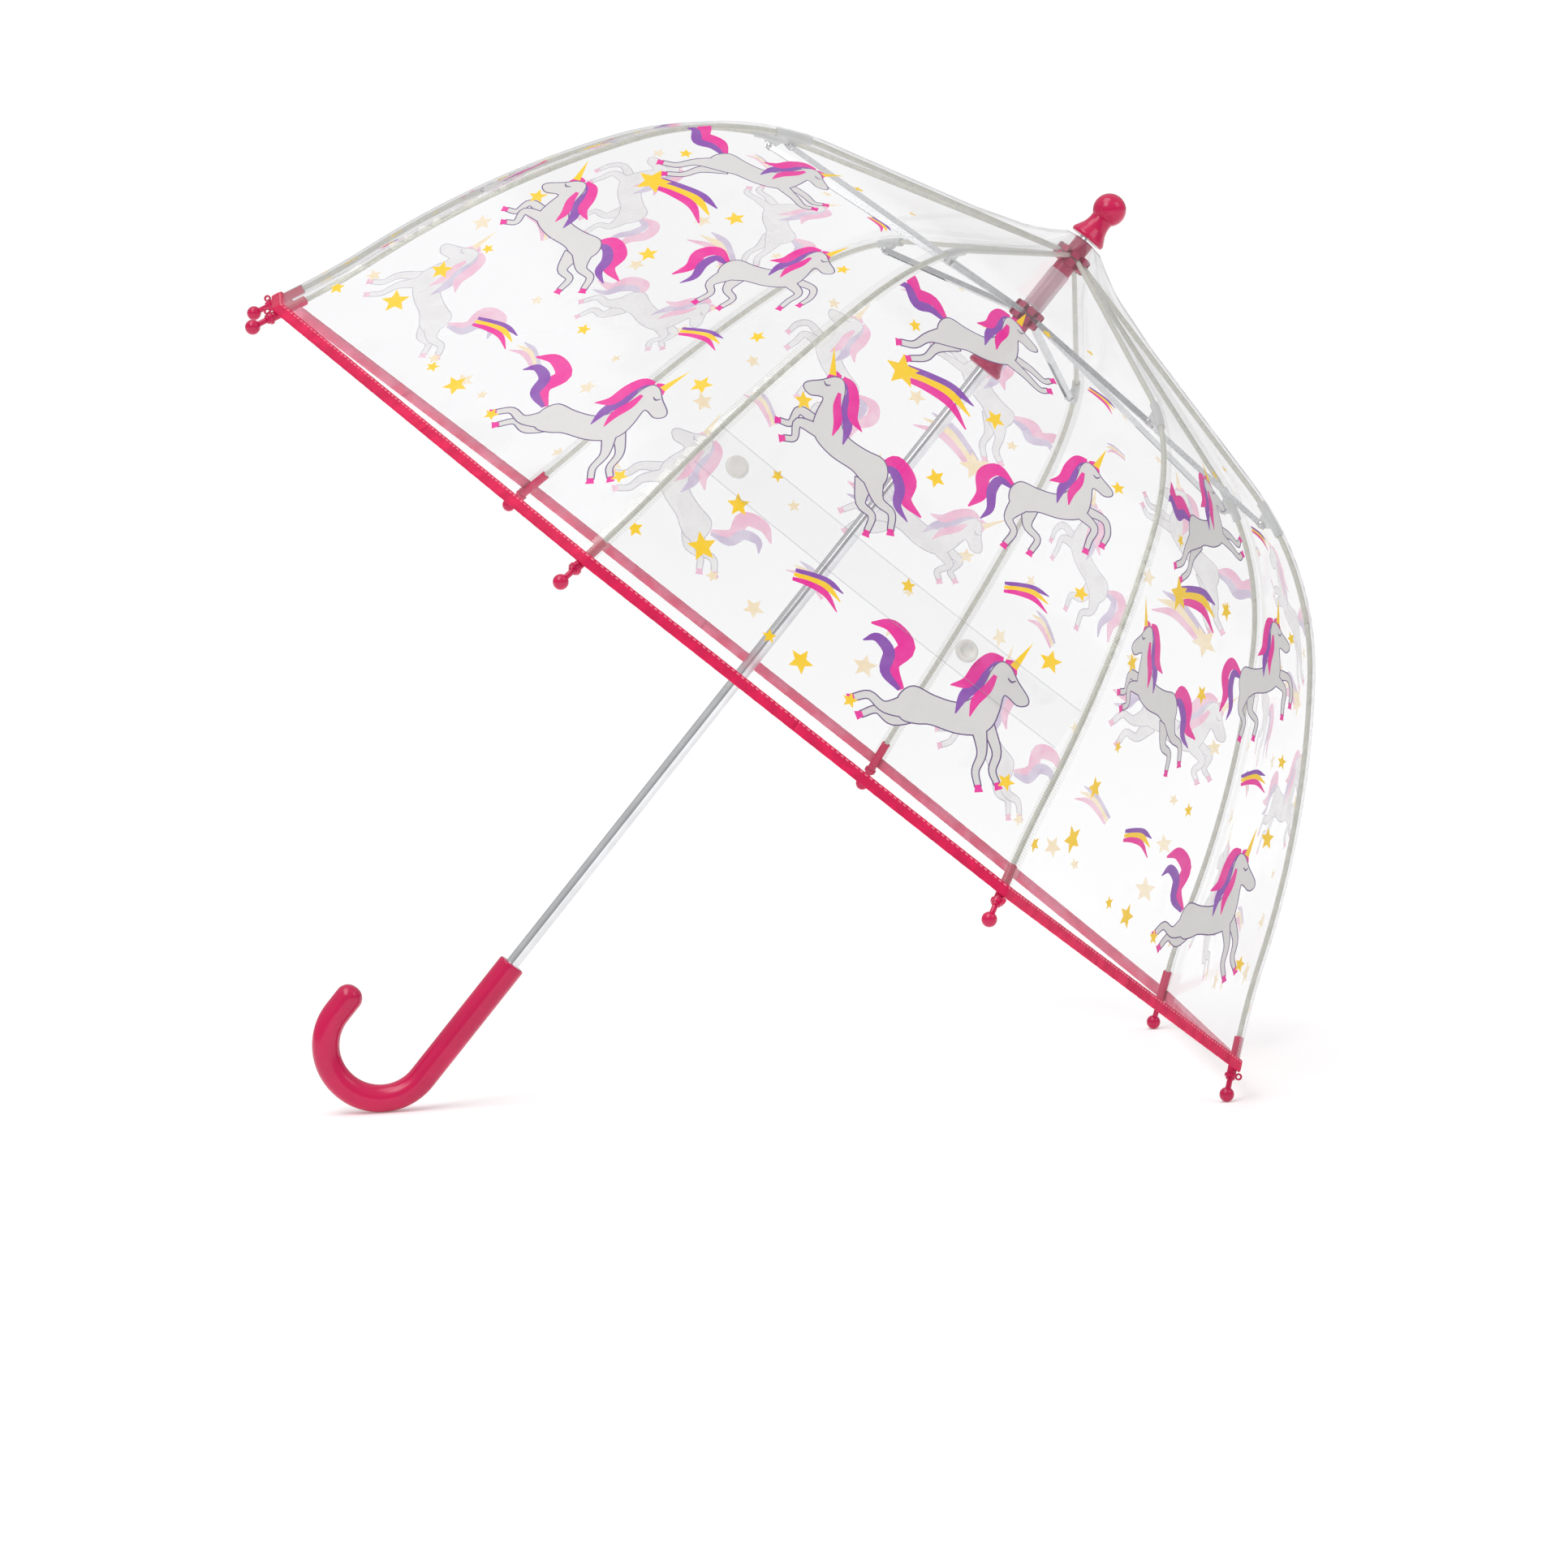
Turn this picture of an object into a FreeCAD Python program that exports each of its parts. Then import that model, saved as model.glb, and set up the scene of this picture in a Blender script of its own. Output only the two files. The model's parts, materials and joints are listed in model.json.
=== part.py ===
import FreeCAD, Part

# A child's see-through bubble umbrella, open and lying down.
#
# It rests on the hook of its handle and on two neighbouring rib tips, so its shaft leans in the XZ plane.
# Each sub-part is built in its own axes, put in the umbrella's axes (origin where the finial meets the canopy,
# +Z along the shaft towards the finial, ribs spaced evenly about Z), and then leaned over with everything
# else. All lengths are in millimetres and all angles in degrees.

import math
import os

import Sketcher
from FreeCAD import Placement, Rotation, Vector

DIMENSIONS = [
    ("rib_count", 8, "ribs, and so gores, stretchers and tips"),
    ("film_thickness", 0.2, "clear film of the canopy"),
    ("film_gap", 3.1, "film's inner face above the middle line of a rib"),
    ("rib_d", 3.0, "glass fibre rib"),
    ("rib_gap", 0.45, "clear length of rod each side of a flex point"),
    ("rib_hinge_r", 9.0, "wire ring that the ribs hinge on"),
    ("rib_hinge_depth", 14.0, "below the finial"),
    ("rib_slope", 14.9, "fall of a rib as it leaves the notch"),
    ("rib_straight", 162.1, "straight first stretch"),
    ("bend_radius", 178.5, "tight shoulder of the dome"),
    ("sweep_radius", 561.0, "long side of the dome"),
    ("flare_radius", 406.0, "outward flare before the rim"),
    ("turn_inner", 10.9, "shoulder turn before the first flex point"),
    ("turn_mid", 27.2, "shoulder turn after it"),
    ("turn_mid_sweep", 2.0, "side turn before the second flex point"),
    ("turn_outer", 14.5, "side turn after it"),
    ("turn_flare", 6.15, "turn of the flare"),
    ("tip_grip", 19.0, "rib inside its tip"),
    ("bracket_length", 22.0, "moulded clip around the rib"),
    ("bracket_d", 5.0, "outside of the clip"),
    ("bracket_to_flex", 0.6, "clip's outer end to the first flex point"),
    ("lug_drop", 6.0, "rivet below the middle line of the rib"),
    ("lug_radius", 2.3, "round end of the lug"),
    ("lug_spread", 5.52, "half length of the lug where it leaves the clip"),
    ("lug_root", 2.0, "root of the lug, below the middle line of the rib"),
    ("lug_fall", 0.25, "how much lower the root is at its outer end"),
    ("lug_thickness", 2.8, "lug between the stretcher's cheeks"),
    ("rivet_d", 1.6, "rivet through the lug"),
    ("rivet_length", 3.5, "short of the cheeks"),
    ("crown_pivot_r", 8.0, "wire ring that the stretchers hinge on"),
    ("crown_pivot_depth", 55.0, "below the finial"),
    ("stretcher_width", 4.8, "outside of the channel"),
    ("stretcher_wall", 0.6, "sheet steel"),
    ("stretcher_height", 3.0, "depth of the channel"),
    ("stretcher_eye", 2.0, "flattened inner end"),
    ("stretcher_neck", 7.0, "length of the flattened end"),
    ("stretcher_flare", 12.0, "where the channel has its full width"),
    ("stretcher_fork", 95.0, "where the channel's floor ends"),
    ("stretcher_hole_d", 2.2, "rivet hole, open pivot"),
    ("eye_clearance", 0.6, "hole for a wire ring, over its wire"),
    ("cut_margin", 1.0, "how far a cut runs past what it cuts"),
    ("shaft_d", 8.0, "chromed steel tube"),
    ("shaft_bore_d", 6.8, "inside of the tube"),
    ("shaft_top", 14.0, "tube inside the finial"),
    ("handle_depth", 530.0, "handle's top, below the finial"),
    ("handle_socket", 45.0, "tube inside the handle"),
    ("handle_d", 16.0, "grip"),
    ("grip_length", 83.6, "straight grip"),
    ("hook_radius", 31.0, "middle line of the hook"),
    ("hook_tail", 18.0, "straight tail of the hook"),
    ("handle_edge", 1.2, "rounded top edge"),
    ("tail_round", 7.4, "rounded tail end"),
    ("finial_base_d", 22.0, "flared foot of the finial"),
    ("finial_foot", 2.2, "height of its rounded edge"),
    ("finial_waist_d", 13.0, "waist under the ball"),
    ("finial_waist_z", 11.8, "height of the waist"),
    ("finial_ball_d", 19.0, "ball"),
    ("finial_ball_z", 21.2, "height of the ball's centre"),
    ("clamp_gap", 1.6, "room for the film under the finial"),
    ("hub_bevel", 0.8, "edges of the notch and of the skirt"),
    ("hub_d", 11.6, "barrel of the notch and of the runner"),
    ("notch_d", 22.0, "notch flange"),
    ("notch_top", 9.5, "flange's upper face, below the finial"),
    ("notch_bottom", 18.5, "flange's lower face"),
    ("notch_end", 24.0, "barrel's lower end"),
    ("notch_slot", 3.6, "slot for a rib"),
    ("notch_ring_d", 1.0, "wire through the ribs"),
    ("notch_slot_r", 6.6, "inner end of a slot"),
    ("sleeve_d", 12.5, "clear stop sleeve"),
    ("sleeve_end", 49.5, "its lower end"),
    ("runner_top", 50.0, "top of the runner"),
    ("crown_d", 19.0, "runner's crown"),
    ("crown_end", 60.0, "crown's lower face"),
    ("crown_bevel", 0.7, "edges of the crown"),
    ("crown_slot", 2.6, "slot for a stretcher"),
    ("crown_slot_r", 5.4, "inner end of a slot"),
    ("crown_ring_d", 0.9, "wire through the stretchers"),
    ("ring_clearance", 0.1, "groove around a wire ring"),
    ("skirt_start", 80.0, "where the runner flares out"),
    ("skirt_ease", 4.5, "length of the first, gentle flare"),
    ("skirt_rise", 1.4, "how far it flares out"),
    ("skirt_d", 21.0, "flared skirt"),
    ("skirt_lip", 2.5, "straight lip of the skirt"),
    ("runner_bottom", 95.0, "lower end of the runner"),
    ("runner_clearance", 0.06, "running fit on the shaft"),
    ("tip_d", 5.3, "tip sleeve"),
    ("tip_sleeve", 25.0, "length of the sleeve"),
    ("tip_collar_d", 7.2, "collar at the rim"),
    ("tip_collar_start", 20.8, "collar's near face"),
    ("tip_collar_length", 2.6, "collar's length"),
    ("tip_edge", 0.4, "worn edge of the sleeve and of the collar"),
    ("tip_neck_d", 3.2, "neck before the ball"),
    ("tip_ball_d", 8.3, "ball end"),
    ("tip_ball_at", 33.0, "ball's centre along the tip"),
    ("eyelet_d", 4.0, "sewing eyelet on the collar"),
    ("eyelet_hole_d", 2.0, "its hole"),
    ("eyelet_thickness", 1.4, "its width"),
    ("trim_width", 7.0, "binding around the rim"),
    ("trim_thickness", 1.7, "binding, folded over the film"),
    ("trim_overlap", 19.5, "binding past the start of the tips"),
    ("trim_bevel", 0.45, "its folded edges"),
    ("bite", 0.05, "how far one piece sinks into the next, so that they join"),
    ("strap_to_rim", 78.0, "tie strap's lower edge above the binding"),
    ("strap_width", 26.0, "tie strap"),
    ("strap_thickness", 0.5, "tie strap"),
    ("strap_short", 9.0, "strap's free end from the next seam"),
    ("surface_gap", 0.3, "between pieces laid on one another"),
    ("snap_d", 12.8, "press stud"),
    ("snap_height", 1.8, "press stud"),
    ("snap_edge", 0.5, "its rounded edge"),
    ("snap_inset", 22.0, "press stud from the seam"),
    ("socket_inset", 66.0, "strap's socket from its free end"),
]

doc = FreeCAD.newDocument("bubble_umbrella")
sheet = doc.addObject("Spreadsheet::Sheet", "dims")
sheet.Label = "dims"
for row, (alias, number, meaning) in enumerate(DIMENSIONS, start=1):
    sheet.set(f"A{row}", alias)
    sheet.set(f"B{row}", str(number))
    sheet.set(f"C{row}", meaning)
    sheet.setAlias(f"B{row}", alias)
doc.recompute()

SUB_PARTS = []


def size(name):
    """The number in a named cell of the sheet."""
    return float(getattr(sheet, name))


def number(expression):
    """An expression over the sheet's names, as a number."""
    return float(sheet.evalExpression(expression))


def sines(angle):
    """Sine and cosine of an angle in degrees."""
    return math.sin(math.radians(angle)), math.cos(math.radians(angle))


# --- sketches -------------------------------------------------------------------------------------------


def new_body(label):
    """An empty body, which becomes the sub-part of that name."""
    body = doc.addObject("PartDesign::Body", label)
    body.Label = label
    SUB_PARTS.append(body)
    return body


def new_sketch(body, name, plane):
    """A sketch on one of the body's own origin planes."""
    sketch = body.newObject("Sketcher::SketchObject", f"{body.Name}_{name}")
    origin_plane = [f for f in body.Origin.OriginFeatures if f.Role == plane][0]
    sketch.AttachmentSupport = [(origin_plane, "")]
    sketch.MapMode = "FlatFace"
    return sketch


def bind(sketch, kind, items, expression):
    """A dimension of the sketch that follows the sheet. A negative one is measured the other way."""
    value = number(expression)
    if kind in ("DistanceX", "DistanceY"):
        geometry, point = items
        if abs(value) < 1e-9:
            axis = -2 if kind == "DistanceX" else -1
            sketch.addConstraint(Sketcher.Constraint("PointOnObject", geometry, point, axis))
            return
        ends = (-1, 1, geometry, point) if value > 0 else (geometry, point, -1, 1)
        expression = expression if value > 0 else f"-({expression})"
        index = sketch.addConstraint(Sketcher.Constraint(kind, *ends, abs(value)))
    else:
        index = sketch.addConstraint(Sketcher.Constraint(kind, *items, value))
    sketch.setExpression(f"Constraints[{index}]", expression)


def place(sketch, geometry, point, x, y):
    """Holds a point of the sketch at two expressions."""
    bind(sketch, "DistanceX", (geometry, point), x)
    bind(sketch, "DistanceY", (geometry, point), y)


def arc_between(start, end, radius, side):
    """The arc from start to end with that radius, at most a half turn, bulging left of the way it goes (side 1)
    or right (side -1)."""
    chord = end - start
    left = Vector(-chord.y, chord.x, 0).normalize()
    to_centre = math.sqrt(max(radius**2 - (chord.Length / 2) ** 2, 0.0))
    centre = (start + end) / 2 - left * side * to_centre
    first, last = (end, start) if side > 0 else (start, end)
    angles = [math.atan2(point.y - centre.y, point.x - centre.x) for point in (first, last)]
    if angles[1] <= angles[0]:
        angles[1] += 2 * math.pi
    return Part.ArcOfCircle(Part.Circle(centre, Vector(0, 0, 1), radius), *angles)


def bind_radius(sketch, edge, start, end, radius):
    """The radius of an arc. On a half turn its two ends already set it."""
    if (end - start).Length < 2 * number(radius) * 0.999:
        bind(sketch, "Radius", (edge,), radius)


def outline(sketch, corners):
    """A closed outline through corners (x, y), each an expression. A corner may add (radius, side) for an arc
    to the next corner."""
    points = [Vector(number(c[0]), number(c[1]), 0) for c in corners]
    edges = []
    for here, corner in enumerate(corners):
        ahead = points[(here + 1) % len(points)]
        if len(corner) == 2:
            edge = sketch.addGeometry(Part.LineSegment(points[here], ahead), False)
            edges.append((edge, 1, 2))
            continue
        radius, side = corner[2:]
        arc = arc_between(points[here], ahead, number(radius), side)
        edge = sketch.addGeometry(arc, False)
        edges.append((edge, 2, 1) if side > 0 else (edge, 1, 2))
    for here, (edge, _, end) in enumerate(edges):
        following, start, _ = edges[(here + 1) % len(edges)]
        sketch.addConstraint(Sketcher.Constraint("Coincident", edge, end, following, start))
    for corner, (edge, start, _) in zip(corners, edges):
        place(sketch, edge, start, corner[0], corner[1])
    for here, (corner, (edge, _, _)) in enumerate(zip(corners, edges)):
        if len(corner) > 2:
            bind_radius(sketch, edge, points[here], points[(here + 1) % len(points)], corner[2])


def circle(sketch, x, y, diameter):
    """A circle at two expressions, with its diameter."""
    middle = Vector(number(x), number(y), 0)
    edge = sketch.addGeometry(Part.Circle(middle, Vector(0, 0, 1), number(diameter) / 2), False)
    place(sketch, edge, 3, x, y)
    bind(sketch, "Diameter", (edge,), diameter)


def route(sketch, heading, stretches):
    """An open line from the origin that sets off at heading and is made of stretches: ("straight", length) or
    ("bend", radius, turn), a positive turn being to the right. Every stretch leaves as the last one ended."""
    x, y, angle = "0", "0", f"({heading})"
    last = None
    for kind, *sizes in stretches:
        start = Vector(number(x), number(y), 0)
        if kind == "straight":
            x = f"{x} + {sizes[0]} * cos({angle} * 1 deg)"
            y = f"{y} + {sizes[0]} * sin({angle} * 1 deg)"
            end = Vector(number(x), number(y), 0)
            edge = sketch.addGeometry(Part.LineSegment(start, end), False)
            first, final = 1, 2
        else:
            radius, turn = sizes
            right = number(turn) > 0
            signed = radius if right else f"(-{radius})"
            after = f"({angle} - ({turn}))"
            x = f"{x} + {signed} * (sin({angle} * 1 deg) - sin({after} * 1 deg))"
            y = f"{y} - {signed} * (cos({angle} * 1 deg) - cos({after} * 1 deg))"
            end = Vector(number(x), number(y), 0)
            arc = arc_between(start, end, number(radius), 1 if right else -1)
            edge = sketch.addGeometry(arc, False)
            first, final = (2, 1) if right else (1, 2)
            angle = after
        if last is not None:
            sketch.addConstraint(Sketcher.Constraint("Coincident", *last, edge, first))
        else:
            place(sketch, edge, first, "0", "0")
        place(sketch, edge, final, x, y)
        if kind == "bend":
            bind_radius(sketch, edge, start, end, sizes[0])
        last = (edge, final)


# --- features -------------------------------------------------------------------------------------------


def feature(body, kind, name, profile, **settings):
    """A feature of the body made from a sketch, with its settings. A text setting starting with = is bound."""
    made = body.newObject(f"PartDesign::{kind}", f"{body.Name}_{name}")
    made.Profile = profile
    for key, value in settings.items():
        if isinstance(value, str) and value.startswith("="):
            made.setExpression(key, value[1:])
        else:
            setattr(made, key, value)
    return made


def turned(body, name, corners, kind="Revolution"):
    """A solid, or a groove, turned about the body's Z axis from an outline in its XZ plane."""
    sketch = new_sketch(body, name, "XZ_Plane")
    outline(sketch, corners)
    return feature(body, kind, f"{name}_turn", sketch, ReferenceAxis=(sketch, ["V_Axis"]), Angle=360.0)


def slots(body, name, inner, width, outer, **depth):
    """Evenly spaced slots along the body's axis, open at the outside, cut to a depth."""
    sketch = new_sketch(body, name, "XY_Plane")
    corners = [(inner, f"-{width} / 2"), (outer, f"-{width} / 2")]
    corners += [(outer, f"{width} / 2"), (inner, f"{width} / 2")]
    outline(sketch, corners)
    cut = feature(body, "Pocket", f"{name}_cut", sketch, **depth)
    pattern = body.newObject("PartDesign::PolarPattern", f"{body.Name}_{name}_pattern")
    pattern.Originals = [cut]
    pattern.Axis = (sketch, ["N_Axis"])
    pattern.Angle = 360.0
    pattern.setExpression("Occurrences", "dims.rib_count")
    body.Tip = pattern


def rod(body, heading, stretches, diameter, plane="YZ_Plane"):
    """A round rod along a route in the body's XZ plane."""
    path = new_sketch(body, "path", "XZ_Plane")
    route(path, heading, stretches)
    section = new_sketch(body, "section", plane)
    circle(section, "0", "0", diameter)
    return feature(body, "AdditivePipe", "rod", section, Spine=path), section


# --- where things stand ---------------------------------------------------------------------------------

LENGTH_PER_DEGREE = math.pi / 180


def rib_stretches():
    """(length, turn) of each stretch of a rib from its hinge; a positive turn bends it down."""
    bend, sweep, flare = size("bend_radius"), size("sweep_radius"), size("flare_radius")
    turns = [
        (bend, size("turn_inner")),
        (bend, size("turn_mid")),
        (sweep, size("turn_mid_sweep")),
        (sweep, size("turn_outer")),
        (flare, -size("turn_flare")),
    ]
    curved = [(radius * abs(turn) * LENGTH_PER_DEGREE, turn) for radius, turn in turns]
    return [(size("rib_straight"), 0.0), *curved, (size("tip_grip"), 0.0)]


def rib_point(along):
    """(radius, height, fall in degrees) on the middle line of a rib, that far from its hinge."""
    radius, height = size("rib_hinge_r"), -size("rib_hinge_depth")
    fall, left = size("rib_slope"), along
    for length, turn in rib_stretches():
        part = min(left, length)
        turned_by = turn * part / length
        sine, cosine = sines(fall + turned_by / 2)
        half = math.radians(turned_by) / 2
        chord = part * (math.sin(half) / half if half else 1.0)
        radius, height, fall = radius + chord * cosine, height - chord * sine, fall + turned_by
        left -= part
    sine, cosine = sines(fall)
    return radius + left * cosine, height - left * sine, fall


LENGTHS = [length for length, _ in rib_stretches()]
FIRST_FLEX = sum(LENGTHS[:2])
SECOND_FLEX = sum(LENGTHS[:4])
TIP_START = sum(LENGTHS[:6])
BRACKET_START = FIRST_FLEX - size("bracket_to_flex") - size("bracket_length")
RIVET_ALONG = BRACKET_START + size("bracket_length") / 2


def lean_angle():
    """The shaft's tilt above the floor, at which the hook and two neighbouring tip balls touch it together."""
    ball_r, ball_z, _ = rib_point(TIP_START + size("tip_ball_at"))
    across = size("hook_radius") + ball_r * math.cos(math.pi / size("rib_count"))
    down = -(size("handle_depth") + size("grip_length")) - ball_z
    lift = size("hook_radius") + size("handle_d") / 2 - size("tip_ball_d") / 2
    return math.degrees(math.acos(lift / math.hypot(across, down)) - math.atan2(-down, across))


LEAN = lean_angle()
LEAN_SINE, LEAN_COSINE = sines(LEAN)
HALF_STEP = 180.0 / size("rib_count")


def reach(radius, height, azimuth):
    """How far a point of the umbrella lies along the floor, from the foot of its origin."""
    return LEAN_SINE * radius * math.cos(math.radians(azimuth)) + LEAN_COSINE * height


def stand():
    """The placement that leans the umbrella over, rests it on the floor and centres it over the origin."""
    ball_r, ball_z, _ = rib_point(TIP_START + size("tip_ball_at"))
    samples = [rib_point(along) for along in range(0, int(TIP_START))]
    film = size("film_gap") + size("film_thickness")
    front = max(reach(r + film * sines(fall)[0], z + film * sines(fall)[1], HALF_STEP) for r, z, fall in samples)
    back = reach(ball_r, ball_z, 180.0 - HALF_STEP) - size("tip_ball_d") / 2
    hook = -(size("handle_depth") + size("grip_length")) * LEAN_SINE + size("hook_radius") * LEAN_COSINE
    floor = hook - size("hook_radius") - size("handle_d") / 2
    return Placement(Vector(-(front + back) / 2, 0, -floor), Rotation(Vector(0, 1, 0), 90.0 - LEAN))


STAND = stand()


def upright(height=0.0, azimuth=0.0):
    """A placement on the shaft's axis, turned to an azimuth."""
    return STAND * Placement(Vector(0, 0, height), Rotation(Vector(0, 0, 1), azimuth))


def on_rib(along, azimuth):
    """A placement on a rib: X along it towards the tip, Z away from the inside of the umbrella."""
    radius, height, fall = rib_point(along)
    seat = Placement(Vector(radius, 0, height), Rotation(Vector(0, 1, 0), fall))
    return STAND * Placement(Vector(), Rotation(Vector(0, 0, 1), azimuth)) * seat


def rivet_point():
    """(radius, height) of the rivet that joins a stretcher to its rib."""
    radius, height, fall = rib_point(RIVET_ALONG)
    sine, cosine = sines(fall)
    return radius - size("lug_drop") * sine, height - size("lug_drop") * cosine


# --- shaft, handle and hubs -----------------------------------------------------------------------------


def make_shaft():
    """The steel tube, from inside the handle to inside the finial."""
    body = new_body("shaft")
    sketch = new_sketch(body, "section", "XY_Plane")
    circle(sketch, "0", "0", "dims.shaft_d")
    circle(sketch, "0", "0", "dims.shaft_bore_d")
    length = "=dims.handle_depth + dims.handle_socket + dims.shaft_top"
    feature(body, "Pad", "tube", sketch, Length=length)
    body.Placement = upright(-size("handle_depth") - size("handle_socket"))


def end_rim(shape, end):
    """The name of the round edge of a rod about one of its ends."""
    for count, edge in enumerate(shape.Edges, start=1):
        if isinstance(edge.Curve, Part.Circle) and (edge.Curve.Center - end).Length < 1e-6:
            if abs(edge.Curve.Radius - size("handle_d") / 2) < 1e-6:
                return f"Edge{count}"
    raise ValueError(f"no rim at {end}")


def make_handle():
    """The hooked handle: a straight grip, a half turn and a short tail."""
    body = new_body("handle")
    stretches = [("straight", "dims.grip_length"), ("bend", "dims.hook_radius", "180")]
    stretches += [("straight", "dims.hook_tail")]
    rod(body, "-90", stretches, "dims.handle_d", plane="XY_Plane")
    socket = new_sketch(body, "socket", "XY_Plane")
    circle(socket, "0", "0", "dims.shaft_d")
    feature(body, "Pocket", "socket_cut", socket, Length="=dims.handle_socket")
    tail = Vector(-2 * size("hook_radius"), 0, size("hook_tail") - size("grip_length"))
    for name, end in (("handle_edge", Vector()), ("tail_round", tail)):
        doc.recompute()
        base = body.Tip
        rounded = body.newObject("PartDesign::Fillet", f"handle_{name}")
        rounded.Base = (base, [end_rim(base.Shape, end)])
        rounded.setExpression("Radius", f"dims.{name}")
    body.Placement = upright(-size("handle_depth"))


def make_finial():
    """The turned end piece: a flared foot, a waist and a ball."""
    body = new_body("finial")
    foot, waist = "dims.finial_base_d / 2", "dims.finial_waist_d / 2"
    ball = "dims.finial_ball_d / 2"
    meet = "(dims.finial_ball_z - sqrt((dims.finial_ball_d / 2)^2 - (dims.finial_waist_d / 2)^2))"
    corners = [
        ("0", "0"),
        (f"{foot} - 1", "0", "1.3 * dims.finial_foot", -1),
        (f"{foot} - 0.6", "dims.finial_foot"),
        (f"{waist} + 1.1", "0.62 * dims.finial_waist_z", "dims.finial_ball_d", 1),
        (waist, "dims.finial_waist_z", "2 * dims.finial_ball_d", 1),
        (waist, meet, ball, -1),
        ("0", f"dims.finial_ball_z + {ball}"),
    ]
    turned(body, "profile", corners)
    bore = new_sketch(body, "bore", "XY_Plane")
    circle(bore, "0", "0", "dims.shaft_d")
    feature(body, "Pocket", "bore_cut", bore, Length="=dims.shaft_top", Reversed=True)
    body.Placement = upright()


def grooved_hub(label, corners, groove, edge, slot, **depth):
    """A turned hub with a groove for a wire ring, given by the ring's (radius, depth, wire), and evenly spaced
    slots for what hinges on it, given by their (inner radius, width) and how deep they are."""
    groove_r, groove_depth, wire_d = groove
    body = new_body(label)
    turned(body, "profile", corners)
    inner = f"({groove_r} - {wire_d} / 2 - dims.ring_clearance)"
    high = f"(-{groove_depth} + {wire_d} / 2 + dims.ring_clearance)"
    low = f"(-{groove_depth} - {wire_d} / 2 - dims.ring_clearance)"
    outer = f"{edge} + dims.cut_margin"
    turned(body, "groove", [(inner, low), (outer, low), (outer, high), (inner, high)], kind="Groove")
    slots(body, "slot", *slot, outer, **depth)
    body.Placement = upright(azimuth=HALF_STEP)


def make_notch():
    """The hub under the canopy that the ribs hinge on."""
    bore, hub, flange = "dims.shaft_d / 2", "dims.hub_d / 2", "dims.notch_d / 2"
    corners = [
        (bore, "-dims.notch_end"),
        (hub, "-dims.notch_end"),
        (hub, "-dims.notch_bottom"),
        (f"{flange} - dims.hub_bevel", "-dims.notch_bottom"),
        (flange, "-dims.notch_bottom + dims.hub_bevel"),
        (flange, "-dims.notch_top - dims.hub_bevel"),
        (f"{flange} - dims.hub_bevel", "-dims.notch_top"),
        (hub, "-dims.notch_top"),
        (hub, "-dims.clamp_gap"),
        (bore, "-dims.clamp_gap"),
    ]
    groove = ("dims.rib_hinge_r", "dims.rib_hinge_depth", "dims.notch_ring_d")
    slot = ("dims.notch_slot_r", "dims.notch_slot")
    grooved_hub("notch", corners, groove, flange, slot, Type="ThroughAll", Midplane=True)


def make_runner():
    """The sliding runner: a slotted crown, a barrel and a flared skirt."""
    bore, hub = "dims.shaft_d / 2 + dims.runner_clearance", "dims.hub_d / 2"
    crown, skirt = "dims.crown_d / 2", "dims.skirt_d / 2"
    corners = [
        (bore, "-dims.runner_bottom"),
        (f"{skirt} - dims.hub_bevel", "-dims.runner_bottom"),
        (skirt, "-dims.runner_bottom + dims.hub_bevel"),
        (skirt, "-dims.runner_bottom + dims.skirt_lip", "dims.skirt_d", 1),
        (f"{hub} + dims.skirt_rise", "-dims.skirt_start - dims.skirt_ease"),
        (hub, "-dims.skirt_start"),
        (hub, "-dims.crown_end"),
        (f"{crown} - dims.crown_bevel", "-dims.crown_end"),
        (crown, "-dims.crown_end + dims.crown_bevel"),
        (crown, "-dims.runner_top - dims.crown_bevel"),
        (f"{crown} - dims.crown_bevel", "-dims.runner_top"),
        (bore, "-dims.runner_top"),
    ]
    groove = ("dims.crown_pivot_r", "dims.crown_pivot_depth", "dims.crown_ring_d")
    slot = ("dims.crown_slot_r", "dims.crown_slot")
    grooved_hub("runner", corners, groove, crown, slot, Length="=dims.crown_end + dims.cut_margin / 2")


def make_ring(label, radius, depth, wire_d):
    """A ring of wire about the shaft."""
    ring = doc.addObject("Part::Torus", label)
    ring.Label = label
    ring.setExpression("Radius1", f"dims.{radius}")
    ring.setExpression("Radius2", f"dims.{wire_d} / 2")
    ring.Placement = upright(-size(depth))
    SUB_PARTS.append(ring)


def make_sleeve():
    """The clear tube that stops the runner under the notch."""
    body = new_body("stop_sleeve")
    sketch = new_sketch(body, "section", "XY_Plane")
    circle(sketch, "0", "0", "dims.sleeve_d")
    circle(sketch, "0", "0", "dims.shaft_d")
    feature(body, "Pad", "tube", sketch, Length="=dims.sleeve_end - dims.notch_end")
    body.Placement = upright(-size("sleeve_end"))


# --- ribs -----------------------------------------------------------------------------------------------


def make_rib_inner(number_of, azimuth):
    """The rib from its hinge in the notch to the first flex point, with the hole for the wire ring."""
    body = new_body(f"rib_inner_{number_of}")
    turn = "(dims.turn_inner - 180 / pi * dims.rib_gap / dims.bend_radius)"
    stretches = [("straight", "dims.rib_straight"), ("bend", "dims.bend_radius", turn)]
    _, section = rod(body, "0", stretches, "dims.rib_d")
    feature(body, "Pad", "stub", section, Length="=dims.rib_d / 2", Reversed=True)
    hole = new_sketch(body, "hole", "XZ_Plane")
    circle(hole, "0", "0", "dims.notch_ring_d + dims.eye_clearance")
    feature(body, "Pocket", "hole_cut", hole, Type="ThroughAll", Midplane=True)
    body.Placement = on_rib(0.0, azimuth)


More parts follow.
